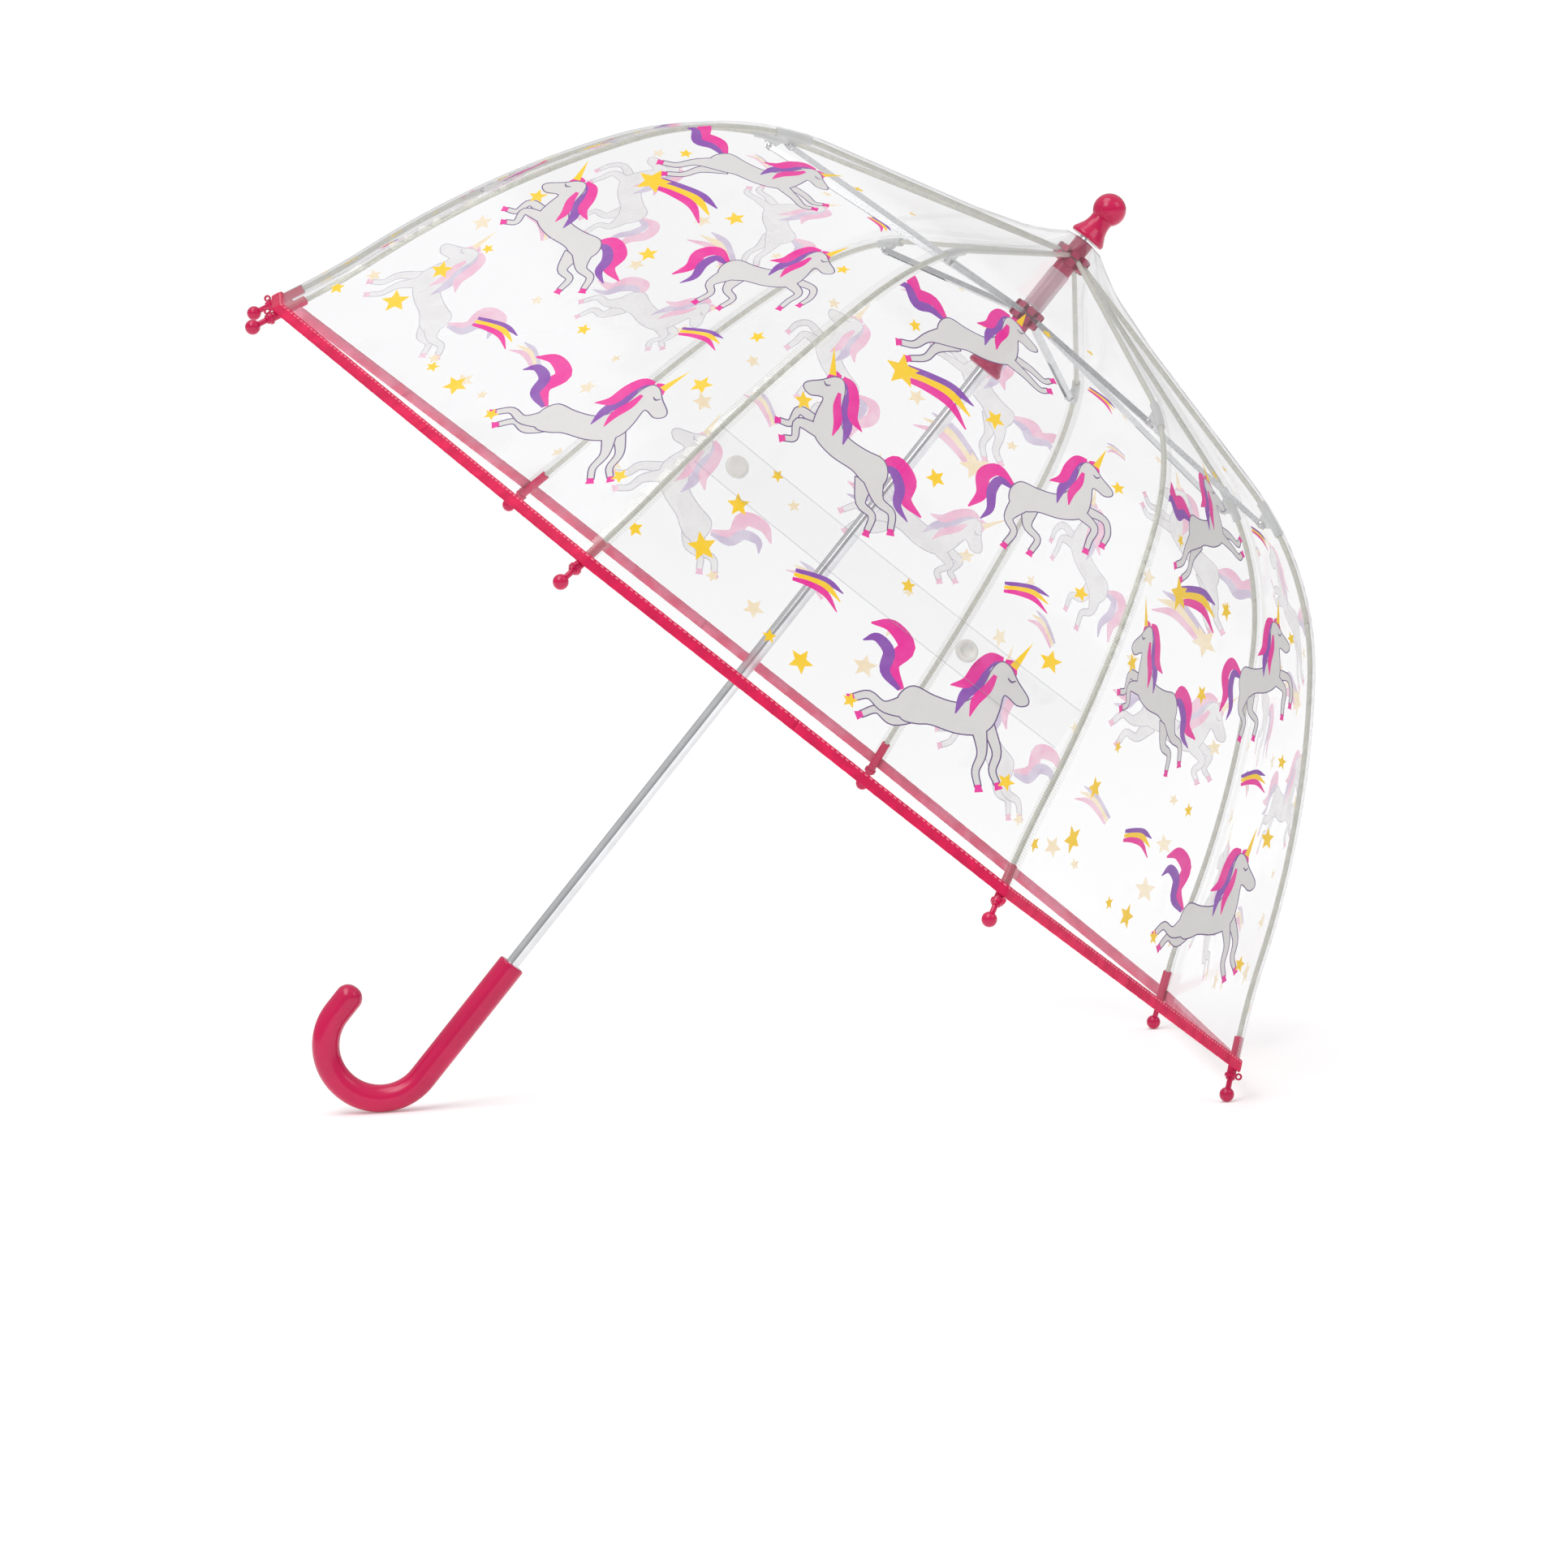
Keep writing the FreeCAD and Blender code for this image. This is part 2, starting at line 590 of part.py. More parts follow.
def make_rib_mid(number_of, azimuth):
    """The rib between its two flex points."""
    body = new_body(f"rib_mid_{number_of}")
    start_turn = "180 / pi * dims.rib_gap / dims.bend_radius"
    end_turn = "180 / pi * dims.rib_gap / dims.sweep_radius"
    stretches = [("bend", "dims.bend_radius", f"(dims.turn_mid - {start_turn})")]
    stretches += [("bend", "dims.sweep_radius", f"(dims.turn_mid_sweep - {end_turn})")]
    rod(body, "0", stretches, "dims.rib_d")
    body.Placement = on_rib(FIRST_FLEX + size("rib_gap"), azimuth)


def make_rib_outer(number_of, azimuth):
    """The rib from the second flex point into its tip."""
    body = new_body(f"rib_outer_{number_of}")
    start_turn = "180 / pi * dims.rib_gap / dims.sweep_radius"
    stretches = [("bend", "dims.sweep_radius", f"(dims.turn_outer - {start_turn})")]
    stretches += [("bend", "dims.flare_radius", "-dims.turn_flare")]
    stretches += [("straight", "dims.tip_grip")]
    rod(body, "0", stretches, "dims.rib_d")
    body.Placement = on_rib(SECOND_FLEX + size("rib_gap"), azimuth)


def make_bracket(number_of, azimuth):
    """The moulded clip around a rib, with a lug and its rivet for the stretcher."""
    body = new_body(f"bracket_{number_of}")
    turn = "(180 / pi * dims.bracket_length / dims.bend_radius)"
    path = new_sketch(body, "path", "XZ_Plane")
    route(path, "0", [("bend", "dims.bend_radius", turn)])
    ring = new_sketch(body, "ring", "YZ_Plane")
    circle(ring, "0", "0", "dims.bracket_d")
    circle(ring, "0", "0", "dims.rib_d")
    feature(body, "AdditivePipe", "clip", ring, Spine=path)
    half = f"({turn} / 2 * 1 deg)"
    middle_x = f"(dims.bend_radius * sin{half} - dims.lug_drop * sin{half})"
    middle_y = f"(-dims.bend_radius * (1 - cos{half}) - dims.lug_drop * cos{half})"
    lug = new_sketch(body, "lug", "XZ_Plane")
    corners = [
        (f"{middle_x} + dims.lug_spread", "-dims.lug_root - dims.lug_fall"),
        (f"{middle_x} + dims.lug_radius", middle_y, "dims.lug_radius", 1),
        (f"{middle_x} - dims.lug_radius", middle_y),
        (f"{middle_x} - dims.lug_spread", "-dims.lug_root"),
    ]
    outline(lug, corners)
    feature(body, "Pad", "lug_pad", lug, Length="=dims.lug_thickness", Midplane=True)
    rivet = new_sketch(body, "rivet", "XZ_Plane")
    circle(rivet, middle_x, middle_y, "dims.rivet_d")
    feature(body, "Pad", "rivet_pad", rivet, Length="=dims.rivet_length", Midplane=True)
    body.Placement = on_rib(BRACKET_START, azimuth)


def make_tip(number_of, azimuth):
    """The moulded tip: a sleeve over the rib's end, a collar with a sewing eyelet, a neck and a ball."""
    body = new_body(f"tip_{number_of}")
    sleeve, collar = "dims.tip_d / 2", "dims.tip_collar_d / 2"
    neck, ball = "dims.tip_neck_d / 2", "dims.tip_ball_d / 2"
    start, end = "dims.tip_collar_start", "(dims.tip_collar_start + dims.tip_collar_length)"
    corners = [
        ("dims.rib_d / 2", "0"),
        (f"{sleeve} - dims.tip_edge", "0"),
        (sleeve, "dims.tip_edge"),
        (sleeve, start),
        (collar, f"{start} + dims.tip_edge"),
        (collar, f"{end} - dims.tip_edge"),
        (sleeve, end),
        (sleeve, "dims.tip_sleeve - 2 * dims.tip_edge"),
        (neck, "dims.tip_sleeve"),
        (neck, f"dims.tip_ball_at - sqrt(({ball})^2 - ({neck})^2)", ball, -1),
        ("0", f"dims.tip_ball_at + {ball}"),
        ("0", "dims.tip_grip"),
        ("dims.rib_d / 2", "dims.tip_grip"),
    ]
    turned(body, "profile", corners)
    eyelet = new_sketch(body, "eyelet", "XZ_Plane")
    height = f"({start} + dims.tip_collar_length / 2)"
    out = f"({collar} + dims.eyelet_hole_d / 2 - dims.tip_edge / 2)"
    circle(eyelet, out, height, "dims.eyelet_d")
    circle(eyelet, out, height, "dims.eyelet_hole_d")
    feature(body, "Pad", "eyelet_pad", eyelet, Length="=dims.eyelet_thickness", Midplane=True)
    along_rib = Placement(Vector(), Rotation(Vector(0, 1, 0), 90.0))
    outward = Placement(Vector(), Rotation(Vector(0, 0, 1), 180.0))
    body.Placement = on_rib(TIP_START, azimuth) * along_rib * outward


# --- stretchers -----------------------------------------------------------------------------------------


def make_stretcher(number_of, azimuth):
    """The steel channel from the runner's crown to the rivet: a flat eye, a channel and an open fork."""
    body = new_body(f"stretcher_{number_of}")
    rivet_r, rivet_z = rivet_point()
    rise = rivet_z + size("crown_pivot_depth")
    run = rivet_r - size("crown_pivot_r")
    length = str(round(math.hypot(run, rise), 6))
    eye, half = "dims.stretcher_eye / 2", "dims.stretcher_width / 2"
    back, front = "-dims.stretcher_height / 2", f"{length} + dims.lug_radius"
    plan = new_sketch(body, "plan", "XY_Plane")
    near = [(back, eye), ("dims.stretcher_neck", eye), ("dims.stretcher_flare", half)]
    side = [*near, (front, half)]
    mirrored = [(x, f"-({y})") for x, y in reversed(side)]
    outline(plan, side + mirrored)
    feature(body, "Pad", "bar", plan, Length="=dims.stretcher_height", Midplane=True)
    inside = "(dims.stretcher_width / 2 - dims.stretcher_wall)"
    open_end, near_end = f"{front} + dims.cut_margin", "dims.stretcher_flare + 2 * dims.cut_margin"
    channel = new_sketch(body, "channel", "XZ_Plane")
    floor, top = "(dims.stretcher_wall - dims.stretcher_height / 2)", "dims.stretcher_height"
    corners = [(near_end, floor), ("dims.stretcher_fork", floor)]
    corners += [("dims.stretcher_fork", f"-{top}"), (open_end, f"-{top}")]
    corners += [(open_end, top), (near_end, top)]
    outline(channel, corners)
    feature(body, "Pocket", "channel_cut", channel, Length=f"=2 * {inside}", Midplane=True)
    holes = new_sketch(body, "holes", "XZ_Plane")
    circle(holes, "0", "0", "dims.crown_ring_d + dims.eye_clearance")
    circle(holes, length, "0", "dims.stretcher_hole_d")
    feature(body, "Pocket", "hole_cut", holes, Type="ThroughAll", Midplane=True)
    pivot = Vector(size("crown_pivot_r"), 0, -size("crown_pivot_depth"))
    seat = Placement(pivot, Rotation(Vector(0, 1, 0), -math.degrees(math.atan2(rise, run))))
    body.Placement = STAND * Placement(Vector(), Rotation(Vector(0, 0, 1), azimuth)) * seat


# --- canopy ---------------------------------------------------------------------------------------------

FILM_STEPS = 24
STRAP_STEPS = 3
FIRST_ON_RIB = 62.0
TENT = [(4.4, -1.35), (10.6, -1.45), (21.0, -8.2), (36.0, -15.8)]


def skin_point(along, above):
    """A point in the rib's plane that lies above its middle line, that far from its hinge."""
    radius, height, fall = rib_point(along)
    sine, cosine = sines(fall)
    return Vector(radius + above * sine, 0, height + above * cosine)


def band_section(start, end, low, high, steps):
    """A closed section that follows the ribs from start to end between two heights above them."""
    stops = [start + (end - start) * n / steps for n in range(steps + 1)]
    under = [skin_point(along, low) for along in stops]
    over = [skin_point(along, high) for along in reversed(stops)]
    return under + over


def film_section():
    """The film's section: clamped under the finial, down the tent to the ribs, and along them."""
    gap, thick = size("film_gap"), size("film_thickness")
    end = TIP_START + size("trim_overlap") - size("trim_width")
    under = [Vector(radius, 0, height) for radius, height in TENT]
    over = [point + Vector(0, 0, thick) for point in under]
    return under + band_section(FIRST_ON_RIB, end, gap, gap + thick, FILM_STEPS) + over[::-1]


def gore_solid(section, first=-1.0, last=1.0):
    """A section swept straight across one gore, from seam to seam. The section's radii are those at the seams.
    first and last, from -1 to 1, cut it short of a seam."""
    sine, cosine = sines(HALF_STEP)
    flat = [Vector(p.x * cosine, 0, p.z) for p in section]
    face = Part.Face(Part.makePolygon([*flat, flat[0]]))
    widest = max(p.x for p in section)
    face.translate(Vector(0, -widest, 0))
    slab = face.extrude(Vector(0, 2 * widest, 0))
    far = 2 * widest
    corners = [Vector(0, 0, -far), Vector(far, far * sine / cosine * first, -far)]
    corners += [Vector(far, far * sine / cosine * last, -far)]
    wedge = Part.Face(Part.makePolygon([*corners, corners[0]])).extrude(Vector(0, 0, 2 * far))
    return slab.common(wedge)


def add_feature(label, shape, placement):
    """A sub-part whose shape is worked out from the sheet above."""
    made = doc.addObject("Part::Feature", label)
    made.Label = label
    made.Shape = shape
    made.Placement = placement
    SUB_PARTS.append(made)


def all_round(gore):
    """The gore repeated about the shaft and welded at its seams into one solid."""
    turns = [Rotation(Vector(0, 0, 1), 2 * HALF_STEP * n) for n in range(int(size("rib_count")))]
    copies = []
    for turn in turns:
        copy = gore.copy()
        copy.Placement = Placement(Vector(), turn)
        copies.append(copy)
    welded = copies[0].multiFuse(copies[1:]).removeSplitter()
    return welded.Solids[0]


def make_canopy():
    """The clear film dome, flat between neighbouring ribs."""
    add_feature("canopy", all_round(gore_solid(film_section())), upright())


def make_trim():
    """The binding folded over the rim of the film."""
    far = TIP_START + size("trim_overlap")
    near = far - size("trim_width")
    low = size("film_gap") - size("bite")
    high, bevel = low + size("trim_thickness"), size("trim_bevel")
    corners = [
        (near, low + bevel),
        (near + bevel, low),
        (far - bevel, low),
        (far, low + bevel),
        (far, high - bevel),
        (far - bevel, high),
        (near + bevel, high),
        (near, high - bevel),
    ]
    section = [skin_point(along, above) for along, above in corners]
    add_feature("rim_binding", all_round(gore_solid(section)), upright())


def strap_span():
    """(start, end) of the tie strap's width along the ribs."""
    end = TIP_START + size("trim_overlap") - size("trim_width") - size("strap_to_rim")
    return end - size("strap_width"), end


def make_tie_strap():
    """The clear strap on one gore, from a seam to short of the next, with the socket half of its press stud."""
    start, end = strap_span()
    low = size("film_gap") + size("film_thickness") + size("surface_gap")
    high = low + size("strap_thickness")
    middle = skin_point((start + end) / 2, high)
    half_chord = middle.x * sines(HALF_STEP)[0]
    last = 1.0 - size("strap_short") / half_chord
    first = size("surface_gap") / half_chord - 1.0
    strap = gore_solid(band_section(start, end, low, high, STRAP_STEPS), first, last)
    across = half_chord * last - size("socket_inset")
    socket = stud_at(high - size("bite"), across)
    hole = stud_at(high + size("snap_height") / 3, across, size("snap_d") / 4)
    add_feature("tie_strap", strap.fuse(socket).cut(hole), upright(azimuth=-90.0))


def stud_at(above, across, radius=None):
    """A disc that stands on the strap's middle, across that far from the middle of its gore."""
    start, end = strap_span()
    point = skin_point((start + end) / 2, above)
    _, _, fall = rib_point((start + end) / 2)
    sine, cosine = sines(HALF_STEP)
    tilt = math.degrees(math.atan2(sines(fall)[0], sines(fall)[1] * cosine))
    foot = Vector(point.x * cosine, across, point.z)
    outward = Vector(sines(tilt)[0], 0, sines(tilt)[1])
    return Part.makeCylinder(radius or size("snap_d") / 2, size("snap_height"), foot, outward)


def make_snap_stud():
    """The other half of the press stud, on the strap by its seam."""
    start, end = strap_span()
    high = size("film_gap") + size("film_thickness") + size("surface_gap") + size("strap_thickness")
    half_chord = skin_point((start + end) / 2, high).x * sines(HALF_STEP)[0]
    across = size("snap_inset") - half_chord
    disc = stud_at(high + size("bite") / 2, across)
    add_feature("snap_stud", disc.makeFillet(size("snap_edge"), [disc.Edges[0]]), upright(azimuth=-90.0))


# --- the assembly ---------------------------------------------------------------------------------------

make_shaft()
make_handle()
make_finial()
make_notch()
make_ring("notch_ring", "rib_hinge_r", "rib_hinge_depth", "notch_ring_d")
make_sleeve()
make_runner()
make_ring("runner_ring", "crown_pivot_r", "crown_pivot_depth", "crown_ring_d")
for count in range(int(size("rib_count"))):
    azimuth = HALF_STEP * (2 * count + 1)
    make_rib_inner(count + 1, azimuth)
    make_rib_mid(count + 1, azimuth)
    make_rib_outer(count + 1, azimuth)
    make_bracket(count + 1, azimuth)
    make_tip(count + 1, azimuth)
    make_stretcher(count + 1, azimuth)
make_canopy()
make_trim()
make_tie_strap()
make_snap_stud()
doc.recompute()

# --- checks and files -----------------------------------------------------------------------------------

failed = [o.Name for o in doc.Objects if "Invalid" in o.State or "Error" in o.State]
failed += [o.Label for o in SUB_PARTS if o.Shape.isNull() or not o.Shape.isValid()]
failed += [o.Label for o in SUB_PARTS if len(o.Shape.Solids) != 1]
if failed:
    raise RuntimeError(f"these objects failed: {failed}")

os.makedirs("parts", exist_ok=True)
for sub_part in SUB_PARTS:
    sub_part.Shape.exportStep(f"parts/{sub_part.Label}.step")
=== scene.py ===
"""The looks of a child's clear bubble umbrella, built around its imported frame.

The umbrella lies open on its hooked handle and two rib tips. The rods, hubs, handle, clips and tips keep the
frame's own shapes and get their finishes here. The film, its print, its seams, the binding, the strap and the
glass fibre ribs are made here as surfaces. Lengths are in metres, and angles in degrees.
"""

import json
import logging
import math
from dataclasses import dataclass, field
from enum import Enum
from typing import Any, Iterable, Optional, Sequence, Union

import bpy
import numpy as np
from mathutils import Matrix, Vector
from mathutils.geometry import delaunay_2d_cdt
from numpy.typing import NDArray


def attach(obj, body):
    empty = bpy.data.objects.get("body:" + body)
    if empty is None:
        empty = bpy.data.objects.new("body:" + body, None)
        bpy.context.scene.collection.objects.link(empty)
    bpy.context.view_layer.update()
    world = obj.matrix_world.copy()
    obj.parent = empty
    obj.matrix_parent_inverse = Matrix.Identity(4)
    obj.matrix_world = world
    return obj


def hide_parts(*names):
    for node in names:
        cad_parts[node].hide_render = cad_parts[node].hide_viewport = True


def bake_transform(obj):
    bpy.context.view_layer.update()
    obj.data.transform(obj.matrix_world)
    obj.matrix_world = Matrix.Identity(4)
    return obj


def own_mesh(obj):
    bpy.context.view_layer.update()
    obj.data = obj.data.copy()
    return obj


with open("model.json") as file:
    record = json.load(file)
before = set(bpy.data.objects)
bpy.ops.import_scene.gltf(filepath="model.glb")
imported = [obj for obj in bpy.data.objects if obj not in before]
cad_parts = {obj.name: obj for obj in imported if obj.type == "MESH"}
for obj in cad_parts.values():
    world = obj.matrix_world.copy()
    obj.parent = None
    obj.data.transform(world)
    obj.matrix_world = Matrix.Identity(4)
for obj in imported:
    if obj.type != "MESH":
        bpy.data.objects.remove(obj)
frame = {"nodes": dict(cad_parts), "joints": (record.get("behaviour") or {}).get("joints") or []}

LOG = logging.getLogger("umbrella")

Array = NDArray[np.float64]
Colour = tuple[float, float, float]

RIBS = 8
HALF_STEP = 180.0 / RIBS
MM = 0.001
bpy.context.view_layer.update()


class Ring(Enum):
    """The three stretches that each rib bends in, and the film that goes with each."""

    INNER = "inner"
    MID = "mid"
    OUTER = "outer"


class Slot(Enum):
    """The names of the record's material slots."""

    FILM = "clear_film"
    BINDING = "pink_binding"
    STRAP = "strap_film"
    SNAP = "milky_snap"
    ROD = "rib_fibreglass"
    STEEL = "stretcher_steel"
    PINK = "pink_tip"


# --- places -----------------------------------------------------------------------------------------------


def joint_named(name: str) -> dict[str, Any]:
    """The record's joint of that name."""
    return next(joint for joint in frame["joints"] if joint["name"] == name)


@dataclass(frozen=True)
class Axes:
    """The umbrella's own axes in the row's frame.

    Attributes:
        origin: where the shaft's axis meets the foot of the finial.
        out: square to the shaft, at azimuth 0, midway between the two ribs that touch the floor.
        side: square to both, at azimuth 90.
        up: along the shaft, towards the finial.
    """

    origin: Array
    out: Array
    side: Array
    up: Array

    @classmethod
    def from_joints(cls, hinge_depth: float) -> "Axes":
        """Reads the axes from the rib hinges, which stand evenly around the shaft.

        Args:
            hinge_depth: how far the hinges are below the origin.

        Returns:
            The axes.
        """
        up = -np.array(joint_named("runner_slide")["axis"])
        hinges = np.array([joint_named(f"rib_hinge_{k}")["pos_m"] for k in range(1, RIBS + 1)])
        middle = hinges.mean(axis=0)
        out = (hinges[0] + hinges[-1]) / 2 - middle
        out = out / np.linalg.norm(out)
        return cls(middle + hinge_depth * up, out, np.cross(up, out), up)

    def around(self, azimuth: float) -> tuple[Array, Array]:
        """The directions away from the shaft and sideways about it, at an azimuth."""
        turn = math.radians(azimuth)
        outward = math.cos(turn) * self.out + math.sin(turn) * self.side
        return outward, np.cross(self.up, outward)

    def points(self, azimuth: float, radial: Array, sideways: Array, height: Array) -> Array:
        """Points given by their distances from the shaft, from a rib's plane, and along the shaft.

        Args:
            azimuth: the plane's azimuth.
            radial: distances away from the shaft.
            sideways: distances from the plane.
            height: distances along the shaft.

        Returns:
            The points.
        """
        outward, tangent = self.around(azimuth)
        level = self.origin + radial[..., None] * outward + sideways[..., None] * tangent
        return level + height[..., None] * self.up

    def vectors(self, azimuth: float, radial: Array, sideways: Array, height: Array) -> Array:
        """Directions given in the plane of a rib, as for points."""
        return self.points(azimuth, radial, sideways, height) - self.origin


@dataclass(frozen=True)
class RibLine:
    """The middle line of a rib: a straight run, four arcs that bend it down, and a flare that turns it out.

    Attributes:
        hinge: (radius, height) of its hinge.
        slope: its fall at the hinge.
        stretches: (length, turn) of each stretch. The last is the straight end inside the tip.
    """

    hinge: tuple[float, float] = (9.0 * MM, -14.0 * MM)
    slope: float = 14.9
    stretches: tuple[tuple[float, float], ...] = (
        (0.1621, 0.0),
        (0.1785 * math.radians(10.9), 10.9),
        (0.1785 * math.radians(27.2), 27.2),
        (0.561 * math.radians(2.0), 2.0),
        (0.561 * math.radians(14.5), 14.5),
        (0.406 * math.radians(6.15), -6.15),
        (0.019, 0.0),
    )

    def reach(self, count: int) -> float:
        """The length of the first stretches of the rib."""
        return sum(length for length, _ in self.stretches[:count])

    @property
    def first_flex(self) -> float:
        """How far along the rib its shoulder hinge is."""
        return self.reach(2)

    @property
    def second_flex(self) -> float:
        """How far along the rib the hinge on its side is."""
        return self.reach(4)

    @property
    def tip_start(self) -> float:
        """How far along the rib its tip starts."""
        return self.reach(6)

    def at(self, along: Array) -> tuple[Array, Array, Array]:
        """Radius, height and fall at distances along the rib.

        Each stretch is an arc of length L and turn T: its chord is L sin(T/2) / (T/2), at the fall halfway.

        Args:
            along: distances from the hinge; beyond the end, the last stretch runs on.

        Returns:
            The three arrays. The fall is in radians.
        """
        lengths = np.array([length for length, _ in self.stretches])
        turns = np.radians([turn for _, turn in self.stretches])
        falls = math.radians(self.slope) + np.concatenate([[0.0], np.cumsum(turns)[:-1]])
        chords = lengths * np.sinc(turns / 2 / np.pi)
        starts = np.concatenate([[0.0], np.cumsum(lengths)[:-1]])
        first_r = self.hinge[0] + np.concatenate([[0.0], np.cumsum(chords * np.cos(falls + turns / 2))[:-1]])
        first_z = self.hinge[1] - np.concatenate([[0.0], np.cumsum(chords * np.sin(falls + turns / 2))[:-1]])
        which = np.clip(np.searchsorted(starts, along, side="right") - 1, 0, len(lengths) - 1)
        part = along - starts[which]
        turned = turns[which] * part / lengths[which]
        chord = part * np.sinc(turned / 2 / np.pi)
        middle = falls[which] + turned / 2
        radius = first_r[which] + chord * np.cos(middle)
        height = first_z[which] - chord * np.sin(middle)
        return radius, height, falls[which] + turned


RIB = RibLine()
AXES = Axes.from_joints(-RIB.hinge[1])
HALF_SINE = math.sin(math.radians(HALF_STEP))
HALF_COSINE = math.cos(math.radians(HALF_STEP))


def azimuth_of(rib: int) -> float:
    """The azimuth of a rib, counted from 1."""
    return HALF_STEP * (2 * rib - 1)


def body_of(rib: int, ring: Ring) -> str:
    """The name of the body that a stretch of a rib belongs to."""
    return f"rib_{ring.value}_{rib}_body"


def gather(piece: bpy.types.Object, rib: int, ring: Ring) -> None:
    """Carries a soft piece on a stretch of a rib, and gives it a mesh of its own."""
    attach(piece, body_of(rib, ring))
    _, tangent = AXES.around(azimuth_of(rib))
    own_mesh(piece)


# --- meshes -----------------------------------------------------------------------------------------------


def make_object(
    name: str, points: Array, faces: Iterable[Iterable[int]], smooth: bool = True
) -> bpy.types.Object:
    """A mesh object at the origin, with its place in its mesh.

    Args:
        name: the piece's name.
        points: its vertices, in the row's frame.
        faces: the vertices of each face, counter-clockwise seen from outside.
        smooth: whether its faces are shaded smooth.

    Returns:
        The object, linked to the scene.
    """
    mesh = bpy.data.meshes.new(name)
    mesh.from_pydata(points.tolist(), [], [list(face) for face in faces])
    mesh.polygons.foreach_set("use_smooth", np.full(len(mesh.polygons), smooth))
    mesh.update()
    made = bpy.data.objects.new(name, mesh)
    bpy.context.scene.collection.objects.link(made)
    return made


def grid_faces(rows: int, columns: int, wrap: bool) -> Array:
    """The four corners of every cell of a grid of points, row by row. wrap closes each row on itself."""
    across = np.arange(columns if wrap else columns - 1)
    down = np.arange(rows - 1)[:, None] * columns
    following = (across + 1) % columns
    corners = [down + across, down + following, down + columns + following, down + columns + across]
    return np.stack(corners, -1).reshape(-1, 4)


def lofted(name: str, rings: Array, outside_in: bool = False) -> bpy.types.Object:
    """A skin over closed rings, with a flat face over each end.

    Args:
        name: the piece's name.
        rings: the points, ring by ring.
        outside_in: whether the rings run the other way round, so that the faces have to be turned over.

    Returns:
        The object.
    """
    rows, sides = rings.shape[:2]
    faces = grid_faces(rows, sides, wrap=True).tolist()
    last = (rows - 1) * sides
    faces += [list(range(sides))[::-1], list(range(last, last + sides))]
    return make_object(name, rings.reshape(-1, 3), [face[::-1] for face in faces] if outside_in else faces)


def circle_angles(sides: int) -> tuple[Array, Array]:
    """The cosines and sines of points spread evenly around a circle, as columns."""
    angle = np.linspace(0, 2 * np.pi, sides, endpoint=False)
    return np.cos(angle)[:, None], np.sin(angle)[:, None]


def tube(name: str, line: Array, radius: float, flat: Array, sides: int = 18) -> bpy.types.Object:
    """A round tube along a line, closed at both ends.

    Each point of the line carries a circle square to the line: centre + r (cos a * across + sin a * over).

    Args:
        name: the piece's name.
        line: the points of its middle line.
        radius: the tube's radius.
        flat: a direction that stays square to the line, which sets where the circle starts.
        sides: how many sides the circle has.

    Returns:
        The object.
    """
    heading = np.gradient(line, axis=0)
    heading /= np.linalg.norm(heading, axis=1, keepdims=True)
    across = np.cross(heading, flat)
    across /= np.linalg.norm(across, axis=1, keepdims=True)
    over = np.cross(heading, across)
    cosine, sine = circle_angles(sides)
    return lofted(name, line[:, None] + radius * (cosine * across[:, None] + sine * over[:, None]))


def turned(name: str, centre: Array, axis: Array, profile: Array, sides: int = 32) -> bpy.types.Object:
    """A surface of revolution from a profile of (radius, height) rows, closed over both ends.

    Each row of the profile carries a circle: centre + height * axis + radius (cos a * across + sin a * over).

    Args:
        name: the piece's name.
        centre: where height 0 is on the axis.
        axis: the axis's direction.
        profile: rows of radius and height, from the bottom up on the outside.
        sides: how many sides it has.

    Returns:
        The object.
    """
    guide = np.array([0.0, 1.0, 0.0]) if abs(axis[1]) < 0.9 else np.array([1.0, 0.0, 0.0])
    across = np.cross(axis, guide)
    across /= np.linalg.norm(across)
    over = np.cross(axis, across)
    cosine, sine = circle_angles(sides)
    radius, height = profile.T[:, :, None, None]
    return lofted(name, centre + height * axis + radius * (cosine * across + sine * over))


# --- shading ----------------------------------------------------------------------------------------------

Number = Union["Value", float]
MAP_NAME = "Along"


class Value:
    """A number in a material's nodes, with ordinary arithmetic."""

    def __init__(self, tree: "Nodes", socket: bpy.types.NodeSocket) -> None:
        """Wraps a socket of that tree."""
        self.tree = tree
        self.socket = socket

    def math(self, operation: str, *others: Number) -> "Value":
        """A Math node on this value and others."""
        return self.tree.math(operation, self, *others)

    def __add__(self, other: Number) -> "Value":
        """The sum."""
        return self.math("ADD", other)

    __radd__ = __add__

    def __sub__(self, other: Number) -> "Value":
        """The difference."""
        return self.math("SUBTRACT", other)

    def __rsub__(self, other: Number) -> "Value":
        """The difference from a number."""
        return self.tree.math("SUBTRACT", other, self)

    def __mul__(self, other: Number) -> "Value":
        """The product."""
        return self.math("MULTIPLY", other)

    __rmul__ = __mul__

    def power(self, exponent: Number) -> "Value":
        """This value to a power."""
        return self.math("POWER", exponent)

    def wave(self, pitch: float) -> "Value":
        """A sine wave along this distance, from -1 to 1, that repeats after each pitch."""
        return (self * (2 * math.pi / pitch)).math("SINE")

    def smooth(self, low: float, high: float) -> "Value":
        """0 below low and 1 above high, with an even ramp between."""
        limits = {"From Min": low, "From Max": high}
        made = self.tree.add("ShaderNodeMapRange", {"interpolation_type": "SMOOTHSTEP"}, Value=self, **limits)
        return Value(self.tree, made.outputs["Result"])


